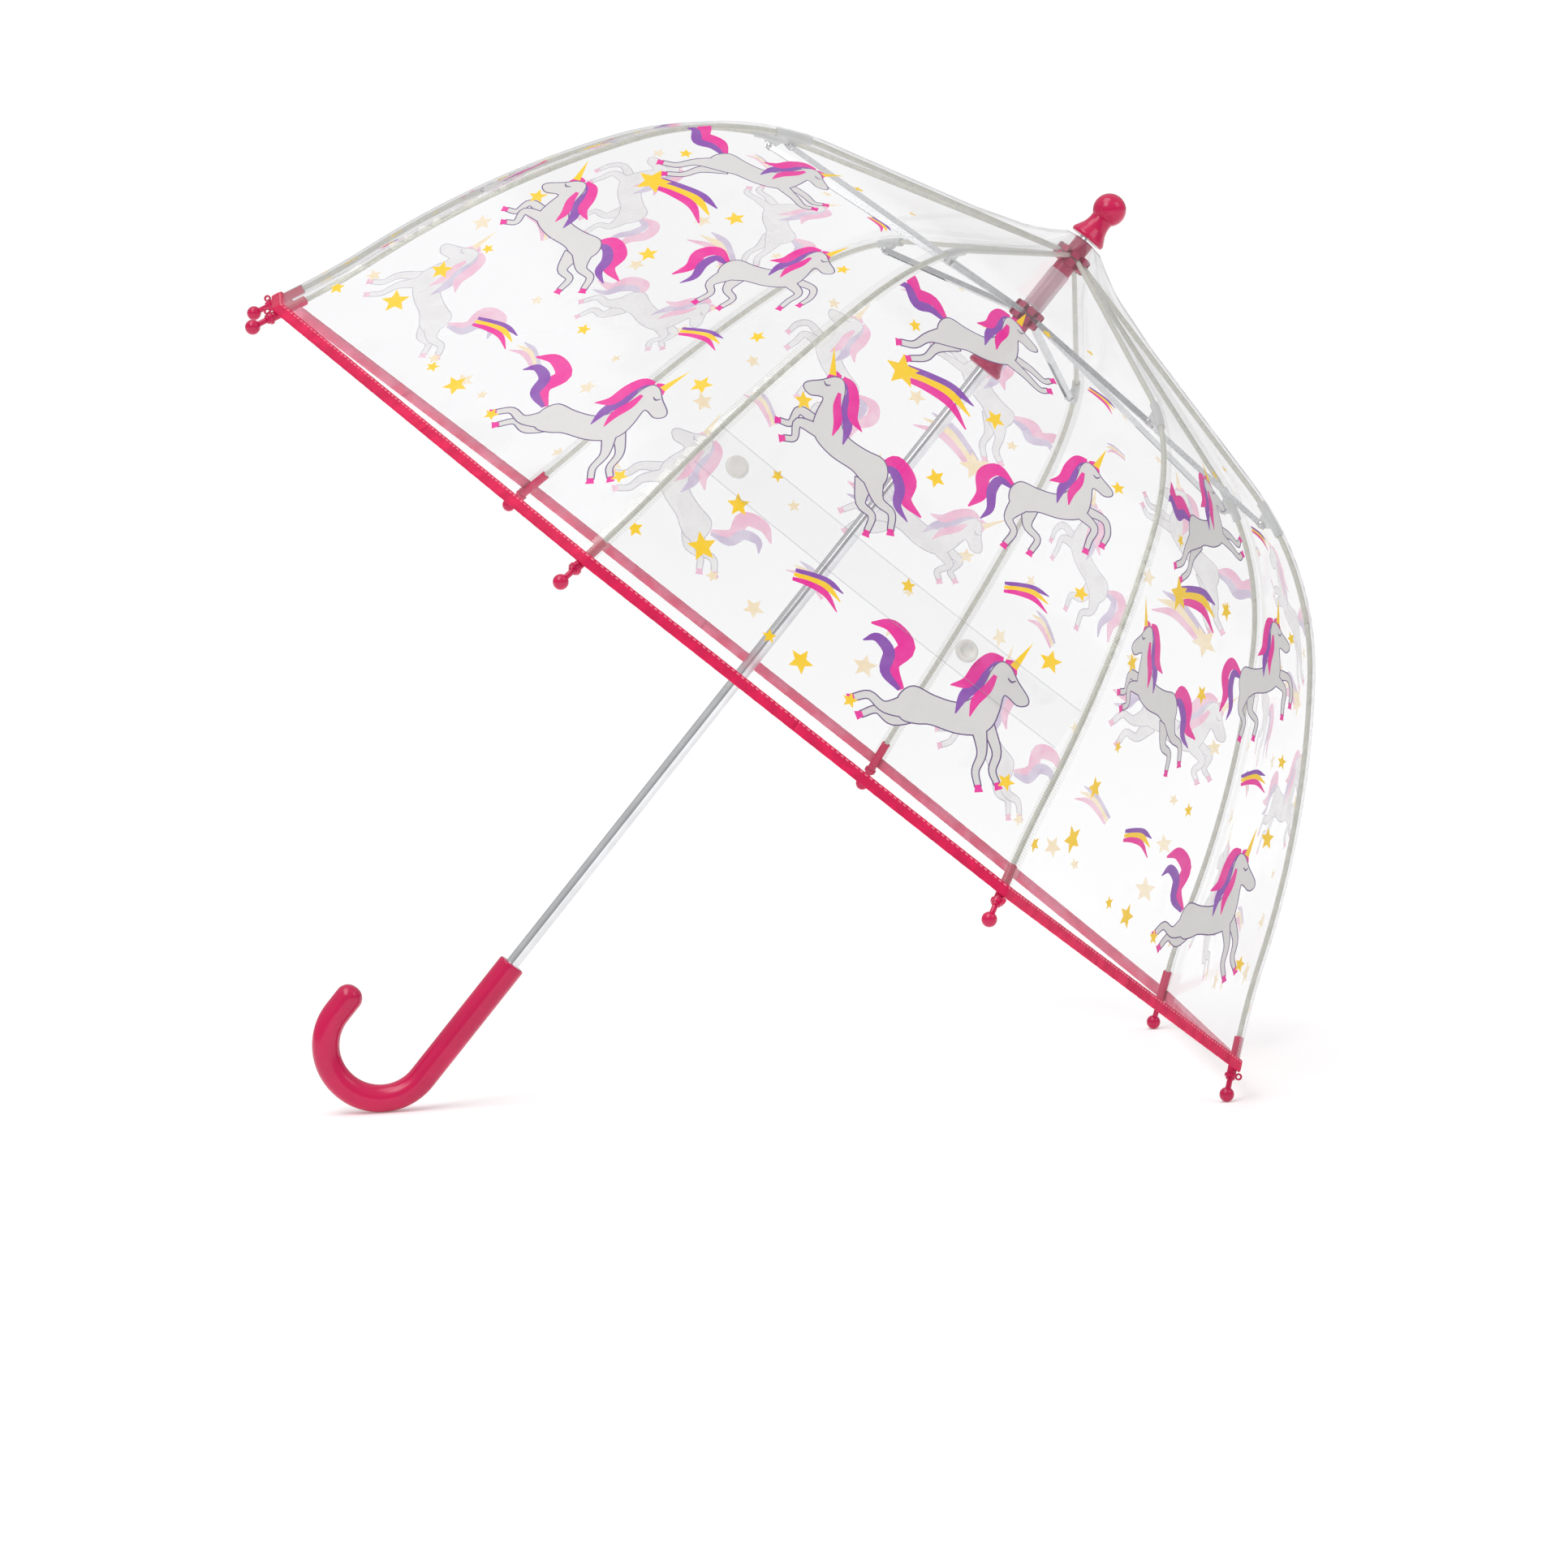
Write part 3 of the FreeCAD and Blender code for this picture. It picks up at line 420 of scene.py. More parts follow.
class Nodes:
    """The nodes of one material, or of the room around the umbrella."""

    def __init__(self, owner: Union[bpy.types.Material, bpy.types.World]) -> None:
        """Starts from no nodes at all."""
        self.owner = owner
        owner.use_nodes = True
        self.tree = owner.node_tree
        self.tree.nodes.clear()

    @classmethod
    def of_material(cls, name: str) -> "Nodes":
        """The nodes of a new material."""
        return cls(bpy.data.materials.new(name))

    def add(self, kind: str, settings: Optional[dict[str, Any]] = None, **inputs: Any) -> bpy.types.Node:
        """A node with its settings, then the values or links of its sockets.

        Args:
            kind: the node's type.
            settings: the node's own properties.
            **inputs: socket names, or in_0, in_1 and so on for numbered sockets, with a number, a colour, a
                Value or another node's socket for each.

        Returns:
            The node.
        """
        node = self.tree.nodes.new(kind)
        for key, setting in (settings or {}).items():
            setattr(node, key, setting)
        for key, given in inputs.items():
            target = node.inputs[int(key[3:])] if key.startswith("in_") else node.inputs[key]
            source = given.socket if isinstance(given, Value) else given
            if isinstance(source, bpy.types.NodeSocket):
                self.tree.links.new(source, target)
            else:
                target.default_value = source
        return node

    def math(self, operation: str, *values: Number) -> Value:
        """A Math node on up to three values."""
        numbered = {f"in_{index}": value for index, value in enumerate(values)}
        return Value(self, self.add("ShaderNodeMath", {"operation": operation}, **numbered).outputs[0])

    def place(self, scale: Union[float, tuple[float, float, float]] = 1.0) -> bpy.types.NodeSocket:
        """Object coordinates, scaled."""
        coordinates = self.add("ShaderNodeTexCoord").outputs["Object"]
        factors = (scale,) * 3 if isinstance(scale, float) else scale
        return self.add("ShaderNodeMapping", Vector=coordinates, Scale=factors).outputs["Vector"]

    def noise(self, scale: float, detail: float = 2.0, where: Optional[bpy.types.NodeSocket] = None) -> Value:
        """A noise over object coordinates, from 0 to 1."""
        made = self.add("ShaderNodeTexNoise", Vector=where or self.place(), Scale=scale, Detail=detail)
        return Value(self, made.outputs["Fac"])

    def along(self) -> tuple[Value, Value]:
        """The piece's own map: millimetres across and along it."""
        mapped = self.add("ShaderNodeUVMap", {"uv_map": MAP_NAME}).outputs["UV"]
        split = self.add("ShaderNodeSeparateXYZ", Vector=mapped)
        return Value(self, split.outputs["X"]) * 1000.0, Value(self, split.outputs["Y"]) * 1000.0

    def mix(self, amount: Number, first: Any, second: Any) -> bpy.types.NodeSocket:
        """A colour between two colours."""
        colours = [(*c, 1.0) if isinstance(c, tuple) and len(c) == 3 else c for c in (first, second)]
        made = self.add("ShaderNodeMix", {"data_type": "RGBA"}, in_0=amount, in_6=colours[0], in_7=colours[1])
        return made.outputs[2]

    def bump(self, height: Value, strength: float, distance: float) -> bpy.types.NodeSocket:
        """A bump from a height."""
        made = self.add("ShaderNodeBump", Height=height, Strength=strength, Distance=distance)
        return made.outputs["Normal"]

    def finish(self, **inputs: Any) -> bpy.types.Material:
        """Closes the material with a Principled shader. Socket names have underscores for spaces."""
        named = {key.replace("_", " "): value for key, value in inputs.items()}
        shader = self.add("ShaderNodeBsdfPrincipled", **named)
        self.add("ShaderNodeOutputMaterial", Surface=shader.outputs["BSDF"])
        return self.owner


def opaque(colour: Colour) -> tuple[float, float, float, float]:
    """A colour with full alpha."""
    return (*colour, 1.0)


def shaded(colour: Colour, share: float) -> Colour:
    """A darker colour: that share of it."""
    return tuple(share * c for c in colour)


def whitened(colour: Colour, share: float) -> Colour:
    """A paler colour: that share of the way to white."""
    return tuple(c + share * (1 - c) for c in colour)


@dataclass(frozen=True)
class Moulding:
    """Glossy moulded plastic, with faint flow marks and a soft skin.

    Attributes:
        name: the material's name.
        colour: its colour.
        roughness: how blurred its reflections are.
        coat: how much clear skin it has.
        alpha: how solid it looks.
        glow: how much light spreads inside it.
    """

    name: str
    colour: Colour
    roughness: float = 0.22
    coat: float = 0.2
    alpha: float = 1.0
    glow: float = 0.0

    def material(self) -> bpy.types.Material:
        """Builds the material."""
        nodes = Nodes.of_material(self.name)
        flow = nodes.noise(38.0, 3.0)
        grain = nodes.noise(900.0, 2.0)
        return nodes.finish(
            Base_Color=nodes.mix(flow.smooth(0.35, 0.75), shaded(self.colour, 0.86), self.colour),
            Roughness=flow * 0.08 + grain * 0.05 + (self.roughness - 0.06),
            Normal=nodes.bump(grain * 0.3 + flow, 0.06, 0.0006),
            Coat_Weight=self.coat,
            Coat_Roughness=0.06,
            IOR=1.42,
            Alpha=self.alpha,
            Subsurface_Weight=self.glow,
            Subsurface_Scale=0.004,
        )


@dataclass(frozen=True)
class Metal:
    """Plated or drawn metal, with fine lines along one direction.

    Attributes:
        name: the material's name.
        colour: its colour.
        roughness: how blurred its reflections are.
        lines: how strong its drawn lines are.
    """

    name: str
    colour: Colour
    roughness: float
    lines: float

    def material(self) -> bpy.types.Material:
        """Builds the material."""
        nodes = Nodes.of_material(self.name)
        smear = nodes.noise(60.0, 3.0)
        lines = nodes.noise(1.0, 2.0, nodes.place((900.0, 2600.0, 900.0)))
        return nodes.finish(
            Base_Color=nodes.mix(smear.smooth(0.3, 0.8), shaded(self.colour, 0.88), self.colour),
            Metallic=1.0,
            Roughness=smear * 0.05 + lines * self.lines + self.roughness,
            Normal=nodes.bump(lines, 0.5 * self.lines, 0.0002),
        )


@dataclass(frozen=True)
class Film:
    """Clear soft film, which shows at glancing angles and in its creases, with a painted sheen that lightens
    its colour at glancing angles.

    Attributes:
        name: the material's name.
        tint: its colour seen square on.
        edge_tint: its colour at a glancing angle, lighter than square on: a painted sheen standing for its
            reflections there.
        face_alpha: how solid it looks square on.
        edge_alpha: how solid it looks at a glancing angle.
        edge_line: the width in millimetres of a band whose two edges show as lines, or 0 for none.
        hatch: how strong the ticks of a welded seam are.
        tick_pitch: the distance between the ticks, in millimetres.
    """

    name: str
    tint: Colour = (0.36, 0.36, 0.40)
    edge_tint: Colour = (0.74, 0.74, 0.77)
    face_alpha: float = 0.095
    edge_alpha: float = 0.55
    edge_line: float = 0.0
    hatch: float = 0.0
    tick_pitch: float = 1.6

    def material(self) -> bpy.types.Material:
        """Builds the material."""
        nodes = Nodes.of_material(self.name)
        facing = Value(nodes, nodes.add("ShaderNodeLayerWeight", Blend=0.30).outputs["Facing"])
        ripple = nodes.noise(11.0, 2.0)
        crease = nodes.noise(34.0, 3.0)
        height = ripple + crease * 0.22
        alpha = facing.power(3.0) * (self.edge_alpha - self.face_alpha) + self.face_alpha
        if self.hatch:
            _, along = nodes.along()
            ticks = along.wave(self.tick_pitch).smooth(0.1, 0.8)
            alpha = alpha + ticks * self.hatch
            height = height + ticks * 0.02
        if self.edge_line:
            across, _ = nodes.along()
            half = self.edge_line / 2
            alpha = alpha + (across - half).math("ABSOLUTE").smooth(half - 1.0, half - 0.4) * 0.3
        cloudy = crease.smooth(0.62, 0.80) * 0.05
        return nodes.finish(
            # painted sheen: the film's colour turns lighter at glancing angles, standing in for its
            # reflections there
            Base_Color=nodes.mix(facing.smooth(0.15, 0.6), self.tint, self.edge_tint),
            Metallic=0.35,
            Roughness=crease * 0.10 + 0.05,
            Alpha=(alpha + cloudy).math("MINIMUM", 1.0),
            Normal=nodes.bump(height, 0.3, 0.006),
            IOR=1.53,
            Coat_Weight=0.5,
            Coat_Roughness=0.05,
        )


@dataclass(frozen=True)
class Ink:
    """Screen printed ink on the film: a little uneven, with pinholes at its grain, and thin from behind.

    Attributes:
        name: the material's name.
        colour: its colour.
        alpha: how well it covers.
    """

    name: str
    colour: Colour
    alpha: float = 0.97

    def material(self) -> bpy.types.Material:
        """Builds the material."""
        nodes = Nodes.of_material(self.name)
        cloud = nodes.noise(90.0, 3.0)
        grain = nodes.noise(1500.0, 1.0)
        front = nodes.mix(cloud.smooth(0.3, 0.8), self.colour, whitened(self.colour, 0.04))
        behind = Value(nodes, nodes.add("ShaderNodeNewGeometry").outputs["Backfacing"])
        pinholes = grain.smooth(0.66, 0.80) * 0.25
        thinness = 0.20 + cloud.smooth(0.4, 0.6) * 0.15
        return nodes.finish(
            Base_Color=nodes.mix(behind, front, whitened(self.colour, 0.38)),
            Roughness=cloud * 0.12 + 0.28,
            Alpha=self.alpha - pinholes - behind * thinness,
            Specular_IOR_Level=0.2,
            Normal=nodes.bump(grain, 0.03, 0.0004),
        )


@dataclass(frozen=True)
class Tape:
    """Bright woven binding tape with a stitched line near its inner edge, and painted shade in the hollows of
    its puckers.

    Its map has the outer face at 0 to 7 mm across, and the paler inner face 20 mm further on.

    Attributes:
        name: the material's name.
        colour: its outer face.
        inner: its inner face.
        thread: the distance between its threads, in millimetres.
        stitch_line: how far the stitches are from the inner edge, in millimetres.
        stitch_pitch: the length of a stitch with its gap, in millimetres.
    """

    name: str
    colour: Colour
    inner: Colour
    thread: float = 0.55
    stitch_line: float = 1.3
    stitch_pitch: float = 3.2

    def material(self) -> bpy.types.Material:
        """Builds the material."""
        nodes = Nodes.of_material(self.name)
        across, along = nodes.along()
        weave = across.wave(self.thread) * along.wave(self.thread)
        near_stitch = 1.0 - (across - self.stitch_line).math("ABSOLUTE").smooth(0.25, 0.55)
        stitch = near_stitch * along.wave(self.stitch_pitch).smooth(-0.5, 0.1)
        pucker = nodes.noise(120.0, 2.0)
        # painted shade: the tape's colour is darkened where the pucker bump is low, in the hollows of its
        # puckers
        pucker_shading = pucker.smooth(0.3, 0.75)
        worn = across.smooth(19.0, 20.0) * (0.45 + nodes.noise(70.0, 4.0).smooth(0.4, 0.7) * 0.4)
        woven = nodes.mix(pucker_shading, shaded(self.colour, 0.78), self.colour)
        sewn = nodes.mix(stitch, woven, whitened(self.colour, 0.22))
        return nodes.finish(
            Base_Color=nodes.mix(worn, sewn, self.inner),
            Roughness=0.55 - pucker_shading * 0.12,
            Specular_IOR_Level=0.25,
            Normal=nodes.bump(weave * 0.25 + stitch * 1.5 + pucker * 2.0, 0.45, 0.0004),
        )


@dataclass(frozen=True)
class Rod:
    """Off-white glass fibre rod: long fibres in a resin skin.

    Attributes:
        name: the material's name.
        colour: its colour.
    """

    name: str
    colour: Colour

    def material(self) -> bpy.types.Material:
        """Builds the material."""
        nodes = Nodes.of_material(self.name)
        fibre = nodes.noise(1.0, 3.0, nodes.place((160.0, 1400.0, 160.0)))
        return nodes.finish(
            Base_Color=nodes.mix(fibre.smooth(0.3, 0.7), shaded(self.colour, 0.84), self.colour),
            Roughness=fibre * 0.15 + 0.3,
            Coat_Weight=0.3,
            Coat_Roughness=0.15,
            Normal=nodes.bump(fibre, 0.15, 0.0003),
        )


@dataclass(frozen=True)
class Floor:
    """A plain pale floor with the faintest mottling."""

    name: str = "pale_floor"

    def material(self) -> bpy.types.Material:
        """Builds the material."""
        nodes = Nodes.of_material(self.name)
        cloud = nodes.noise(3.0, 2.0)
        return nodes.finish(
            Base_Color=nodes.mix(cloud, (0.93, 0.93, 0.93), (0.95, 0.95, 0.95)),
            Roughness=0.7,
            Emission_Color=opaque((1.0, 1.0, 1.0)),
            Emission_Strength=0.17,
        )


class Motif(Enum):
    """What covers a patch of film."""

    CLEAR = 0
    SEAM = 1
    OUTLINE = 2
    COAT = 3
    MAGENTA = 4
    PURPLE = 5
    YELLOW = 6


class Palette:
    """Every finish of the umbrella, made once."""

    def __init__(self) -> None:
        """Builds the materials."""
        pink = (0.60, 0.003, 0.078)
        raspberry, haze = (0.42, 0.02, 0.09), (0.72, 0.52, 0.58)
        clip, stud = (0.76, 0.77, 0.76), (0.74, 0.73, 0.70)
        self.pink = Moulding("pink_gloss_moulding", pink, glow=0.05).material()
        self.hub = Moulding("raspberry_moulding", raspberry, roughness=0.34, coat=0.15, glow=0.1).material()
        self.sleeve = Moulding("hazy_sleeve", haze, roughness=0.3, alpha=0.55).material()
        self.milky = Moulding("milky_clip", clip, roughness=0.3, alpha=0.72, glow=0.1).material()
        self.snap = Moulding("milky_stud", stud, roughness=0.3, alpha=0.78, glow=0.1).material()
        self.chrome = Metal("bright_chrome", (0.80, 0.81, 0.83), 0.05, 0.04).material()
        self.steel = Metal("pressed_steel", (0.66, 0.67, 0.68), 0.16, 0.18).material()
        self.wire = Metal("drawn_wire", (0.44, 0.44, 0.45), 0.26, 0.12).material()
        self.rod = Rod("glass_fibre", (0.60, 0.60, 0.53)).material()
        self.binding = Tape("binding_tape", (0.76, 0.006, 0.085), (0.80, 0.26, 0.36)).material()
        self.film = Film("clear_film_sheet").material()
        weld = (0.50, 0.50, 0.46)
        self.seam = Film("welded_seam", tint=weld, face_alpha=0.22, edge_alpha=0.75, hatch=0.16).material()
        self.strap = Film("strap_sheet", face_alpha=0.045, edge_alpha=0.5, edge_line=26.0).material()
        self.inks = {
            Motif.OUTLINE: Ink("ink_plum", (0.13, 0.075, 0.20)).material(),
            Motif.COAT: Ink("ink_pale_grey", (0.62, 0.61, 0.60)).material(),
            Motif.MAGENTA: Ink("ink_magenta", (0.74, 0.012, 0.29)).material(),
            Motif.PURPLE: Ink("ink_purple", (0.22, 0.055, 0.37)).material(),
            Motif.YELLOW: Ink("ink_yellow", (0.86, 0.55, 0.002)).material(),
        }


# --- the print --------------------------------------------------------------------------------------------


Patch = tuple[Motif, Array]
Spot = tuple[float, float]
FINEST_LINE = 0.15  # the thinnest that a brush stroke gets, in millimetres


def spline(points: Array, closed: bool, steps: int) -> Array:
    """A smooth line through points.

    Between two points it is the Catmull-Rom cubic: half of 2 p1 + (p2 - p0) t + (2 p0 - 5 p1 + 4 p2 - p3) t^2
    + (3 p1 - p0 - 3 p2 + p3) t^3.

    Args:
        points: rows of numbers.
        closed: whether the line returns to its first point.
        steps: how many points each stretch gets.

    Returns:
        The line's points.
    """
    if closed:
        before, ahead, beyond = (np.roll(points, shift, axis=0) for shift in (1, -1, -2))
        here = points
    else:
        padded = np.vstack([2 * points[0] - points[1], points, 2 * points[-1] - points[-2]])
        before, here, ahead, beyond = (padded[n : len(padded) - 3 + n] for n in range(4))
    t = np.linspace(0, 1, steps, endpoint=False)[None, :, None]
    before, here, ahead, beyond = (a[:, None] for a in (before, here, ahead, beyond))
    line = 0.5 * (
        2 * here
        + (ahead - before) * t
        + (2 * before - 5 * here + 4 * ahead - beyond) * t**2
        + (3 * here - before - 3 * ahead + beyond) * t**3
    )
    line = line.reshape(-1, points.shape[1])
    return line if closed else np.vstack([line, points[-1]])


def stroke(rows: Sequence[tuple[float, float, float]], grow: float = 0.0, steps: int = 5) -> Array:
    """The outline of a brush stroke.

    Args:
        rows: x, y and width at points along it.
        grow: how much wider it is made all round.
        steps: points to each stretch.

    Returns:
        The points of its closed outline.
    """
    line = spline(np.array(rows), closed=False, steps=steps)
    heading = np.gradient(line[:, :2], axis=0)
    heading /= np.linalg.norm(heading, axis=1, keepdims=True)
    half_width = np.maximum(line[:, 2:], FINEST_LINE) / 2 + grow
    left = np.stack([-heading[:, 1], heading[:, 0]], axis=1) * half_width
    middle = line[:, :2].copy()
    middle[0] -= heading[0] * grow
    middle[-1] += heading[-1] * grow
    return np.vstack([middle + left, (middle - left)[::-1]])


def signed_area(loop: Array) -> float:
    """The area inside a closed loop, above 0 where it runs counter-clockwise."""
    ahead = np.roll(loop, -1, axis=0)
    return float(np.sum(loop[:, 0] * ahead[:, 1] - ahead[:, 0] * loop[:, 1]) / 2)


def inside(loop: Array, points: Array) -> NDArray[np.bool_]:
    """Which points are inside a closed loop: those that it winds around.

    Each edge that crosses the line to the right of a point counts 1 if it climbs and -1 if it falls.

    Args:
        loop: the loop's points.
        points: the points to be told apart.

    Returns:
        True for each point that is inside.
    """
    low, high = loop.min(axis=0), loop.max(axis=0)
    near = np.flatnonzero(np.all((points >= low) & (points <= high), axis=1))
    x, y = points[near].T[:, :, None]
    start, end = loop, np.roll(loop, -1, axis=0)
    side = (end[:, 0] - start[:, 0]) * (y - start[:, 1]) - (x - start[:, 0]) * (end[:, 1] - start[:, 1])
    climbs = (start[:, 1] <= y) & (end[:, 1] > y) & (side > 0)
    falls = (start[:, 1] > y) & (end[:, 1] <= y) & (side < 0)
    found = np.zeros(len(points), bool)
    found[near] = climbs.sum(axis=1) != falls.sum(axis=1)
    return found


def swollen(loop: Array, grow: float) -> Array:
    """A closed loop moved outwards all round."""
    heading = np.roll(loop, -1, axis=0) - np.roll(loop, 1, axis=0)
    heading /= np.linalg.norm(heading, axis=1, keepdims=True)
    outwards = np.stack([heading[:, 1], -heading[:, 0]], axis=1) * math.copysign(1.0, signed_area(loop))
    return loop + outwards * grow


def turned_about(points: Array, pivot: tuple[float, float], angle: float) -> Array:
    """Points in a plane turned about a pivot."""
    sine, cosine = math.sin(math.radians(angle)), math.cos(math.radians(angle))
    return (points - pivot) @ np.array([[cosine, sine], [-sine, cosine]]) + pivot


class Gait(Enum):
    """How a horned pony stands."""

    CANTER = "canter"
    REAR = "rear"
    LEAP = "leap"
    KICK = "kick"


@dataclass(frozen=True)
class Pony:
    """A small storybook pony with a horn: a body outline and brush strokes, in millimetres, facing +X.

    The legs, tails and manes are rows of x, y and width.

    Attributes:
        gait: how it stands.
        line_width: how far its outline stands out around it.
    """

    gait: Gait
    line_width: float = 0.65

    HIP = (-18.0, 2.0)
    BODY = (
        (-25.5, 1), (-24, 8), (-18, 12.5), (-8, 10), (3, 9), (10, 12.5), (15, 20), (18.5, 29), (22.5, 33),
        (27, 31), (31, 25), (36.5, 18.5), (36.5, 15), (32, 14), (27.5, 17), (24.8, 17), (23.5, 9), (21, 1.5),
        (15, -3.5), (4, -5), (-8, -3.5), (-15, -4.5), (-22, -4),
    )
    LEAN = {Gait.CANTER: 0.0, Gait.REAR: 44.0, Gait.LEAP: 20.0, Gait.KICK: -14.0}
    FORE = {
        Gait.CANTER: (
            ((16, 1, 7), (25, -7, 4), (22, -15, 3), (20, -21, 2.6)),
            ((19, 3, 6), (31, -1, 3.8), (33, -9, 3), (30, -16, 2.4)),
        ),
        Gait.REAR: (
            ((17, 1, 7), (28, -3, 4.2), (25, -11, 3), (29, -15, 2.6)),
            ((19, 4, 6), (31, 3, 4), (31, -6, 3), (36, -9, 2.4)),
        ),
        Gait.LEAP: (
            ((16, 1, 7), (27, -6, 4.2), (35, -12, 3), (40, -11, 2.6)),
            ((19, 3, 6), (30, 0, 4), (38, -5, 3), (43, -3, 2.4)),
        ),
        Gait.KICK: (
            ((15, 0, 7), (18, -12, 4), (16, -21, 3), (18, -28, 2.6)),
            ((19, 2, 6), (25, -10, 3.8), (24, -19, 3), (27, -25, 2.4)),
        ),
    }
    HIND = {
        Gait.CANTER: (
            ((-18, 1, 12), (-26, -10, 5), (-23, -18, 3.4), (-28, -26, 2.8)),
            ((-13, -1, 10), (-15, -13, 4.6), (-9, -20, 3.2), (-13, -28, 2.6)),
        ),
        Gait.REAR: (
            ((-18, 1, 12), (-19, -12, 5.4), (-25, -19, 3.6), (-23, -28, 2.8)),
            ((-13, -1, 10), (-9, -13, 4.8), (-14, -20, 3.4), (-10, -28, 2.6)),
        ),
        Gait.LEAP: (
            ((-18, 1, 12), (-28, -8, 5), (-33, -17, 3.4), (-40, -21, 2.8)),
            ((-14, 0, 10), (-22, -11, 4.6), (-25, -20, 3.2), (-32, -26, 2.6)),
        ),
        Gait.KICK: (
            ((-18, 3, 12), (-31, 3, 5), (-38, 9, 3.4), (-46, 8, 2.8)),
            ((-15, 1, 10), (-28, -3, 4.8), (-35, 2, 3.2), (-43, 0, 2.6)),
        ),
    }
    TAIL = {
        Gait.CANTER: (
            ((-23, 9, 3), (-32, 17, 7), (-41, 12, 8.5), (-42, 1, 7), (-50, -8, 1)),
            ((-24, 8, 2), (-31, 11, 5), (-36, 4, 6), (-37, -7, 4.5), (-43, -14, 0.6)),
        ),
        Gait.REAR: (
            ((-23, 6, 3), (-33, 8, 7), (-38, -2, 8.5), (-34, -12, 7), (-41, -22, 1)),
            ((-23, 5, 2), (-30, 3, 5), (-32, -6, 6), (-29, -15, 4.5), (-33, -24, 0.6)),
        ),
        Gait.LEAP: (
            ((-23, 9, 3), (-33, 15, 7), (-43, 12, 8.5), (-50, 20, 6.5), (-58, 17, 1)),
            ((-24, 8, 2), (-33, 9, 5), (-41, 6, 6), (-49, 12, 4.5), (-55, 9, 0.6)),
        ),
        Gait.KICK: (
            ((-22, 11, 3), (-25, 23, 7), (-17, 31, 8.5), (-23, 41, 6.5), (-33, 43, 1)),
            ((-23, 11, 2), (-29, 20, 5), (-26, 29, 6), (-31, 36, 4.5), (-38, 35, 0.6)),
        ),
    }
    MANE = (
        (Motif.PURPLE, ((21, 34, 2), (15, 30, 5.5), (12, 21, 6), (6, 13, 5), (3, 4, 0.6))),
        (Motif.MAGENTA, ((23, 34.5, 2), (17, 34, 5), (11.5, 28, 6), (7, 20, 5.5), (-1, 17, 0.6))),
        (Motif.MAGENTA, ((20, 26, 2), (17, 19, 4.5), (12, 12, 4.5), (10, 4, 0.6))),
        (Motif.MAGENTA, ((24, 34, 1.5), (28, 33, 3), (30, 28, 0.5))),
    )
    HORN = ((26.5, 32.5), (36.5, 45.5), (30, 30.5))
    EYE = ((26, 26, 0.5), (28, 24.4, 1.0), (30.2, 25.4, 0.4))

    def patches(self) -> list[Patch]:
        """The pony's patches of ink, the lowest first: tail, far legs, body, near legs, then the mane."""
        gait, grow = self.gait, self.line_width

        def leaned(loop: Array) -> Array:
            """A loop of the fore part, turned about the hip."""
            return turned_about(loop, self.HIP, self.LEAN[gait])

        body = leaned(spline(np.array(self.BODY, float), closed=True, steps=4))
        fore, hind = self.FORE[gait], self.HIND[gait]
        patches: list[Patch] = list(zip((Motif.MAGENTA, Motif.PURPLE), map(stroke, self.TAIL[gait])))
        for near, trunk in ((1, None), (0, body)):
            legs = ((fore[near], leaned), (hind[near], np.asarray))
            if trunk is not None:
                patches.append((Motif.OUTLINE, swollen(trunk, grow)))
            patches += [(Motif.OUTLINE, put(stroke(leg, grow))) for leg, put in legs]
            if trunk is not None:
                patches.append((Motif.COAT, trunk))
            patches += [(Motif.COAT, put(stroke(leg))) for leg, put in legs]
            patches += [(Motif.MAGENTA, put(self.hoof(leg))) for leg, put in legs]
        patches += [(motif, leaned(stroke(lock))) for motif, lock in self.MANE]
        patches.append((Motif.YELLOW, leaned(np.array(self.HORN))))
        patches.append((Motif.OUTLINE, leaned(stroke(self.EYE))))
        return patches

    @staticmethod
    def hoof(leg: tuple[tuple[float, float, float], ...]) -> Array:
        """The hoof that ends a leg, widening away from it.

        Args:
            leg: the leg's rows of x, y and width.

        Returns:
            The hoof's four corners.
        """
        (x0, y0, _), (x1, y1, width) = leg[-2:]
        length = math.hypot(x1 - x0, y1 - y0)
        dx, dy = (x1 - x0) / length, (y1 - y0) / length
        start, end = (x1 - 0.6 * dx, y1 - 0.6 * dy), (x1 + 3.0 * dx, y1 + 3.0 * dy)
        wide = width / 2 + 0.9
        return np.array([
            (start[0] - dy * width / 2, start[1] + dx * width / 2),
            (start[0] + dy * width / 2, start[1] - dx * width / 2),
            (end[0] + dy * wide, end[1] - dx * wide),
            (end[0] - dy * wide, end[1] + dx * wide),
        ])


def star(radius: float) -> Array:
    """A five-pointed star, point up."""
    angle = np.radians(90 + 36 * np.arange(10))
    reach = np.where(np.arange(10) % 2, 0.46 * radius, radius)
    return np.stack([reach * np.cos(angle), reach * np.sin(angle)], axis=1)


def comet(length: float, with_star: bool) -> list[Patch]:
    """A shooting star: three curved stripes that fan out behind its head.

    Args:
        length: how long it is, in millimetres.
        with_star: whether a star is at its head.

    Returns:
        Its patches of ink.
    """
    size = length / 40.0
    stripes = ((Motif.PURPLE, 3.4, 8.0), (Motif.YELLOW, 0.0, 1.5), (Motif.MAGENTA, -3.4, -6.5))
    patches: list[Patch] = []
    for motif, start, end in stripes:
        rows = [(2, start, 2.6), (14, start + 1.5, 4.2), (28, 0.6 * end + 0.5, 4.8), (40, end - 6.0, 0.8)]
        patches.append((motif, stroke([(x * size, y * size, w * size) for x, y, w in rows])))
    if with_star:
        patches.append((Motif.YELLOW, turned_about(star(9.5 * size), (0.0, 0.0), 12.0)))
    return patches


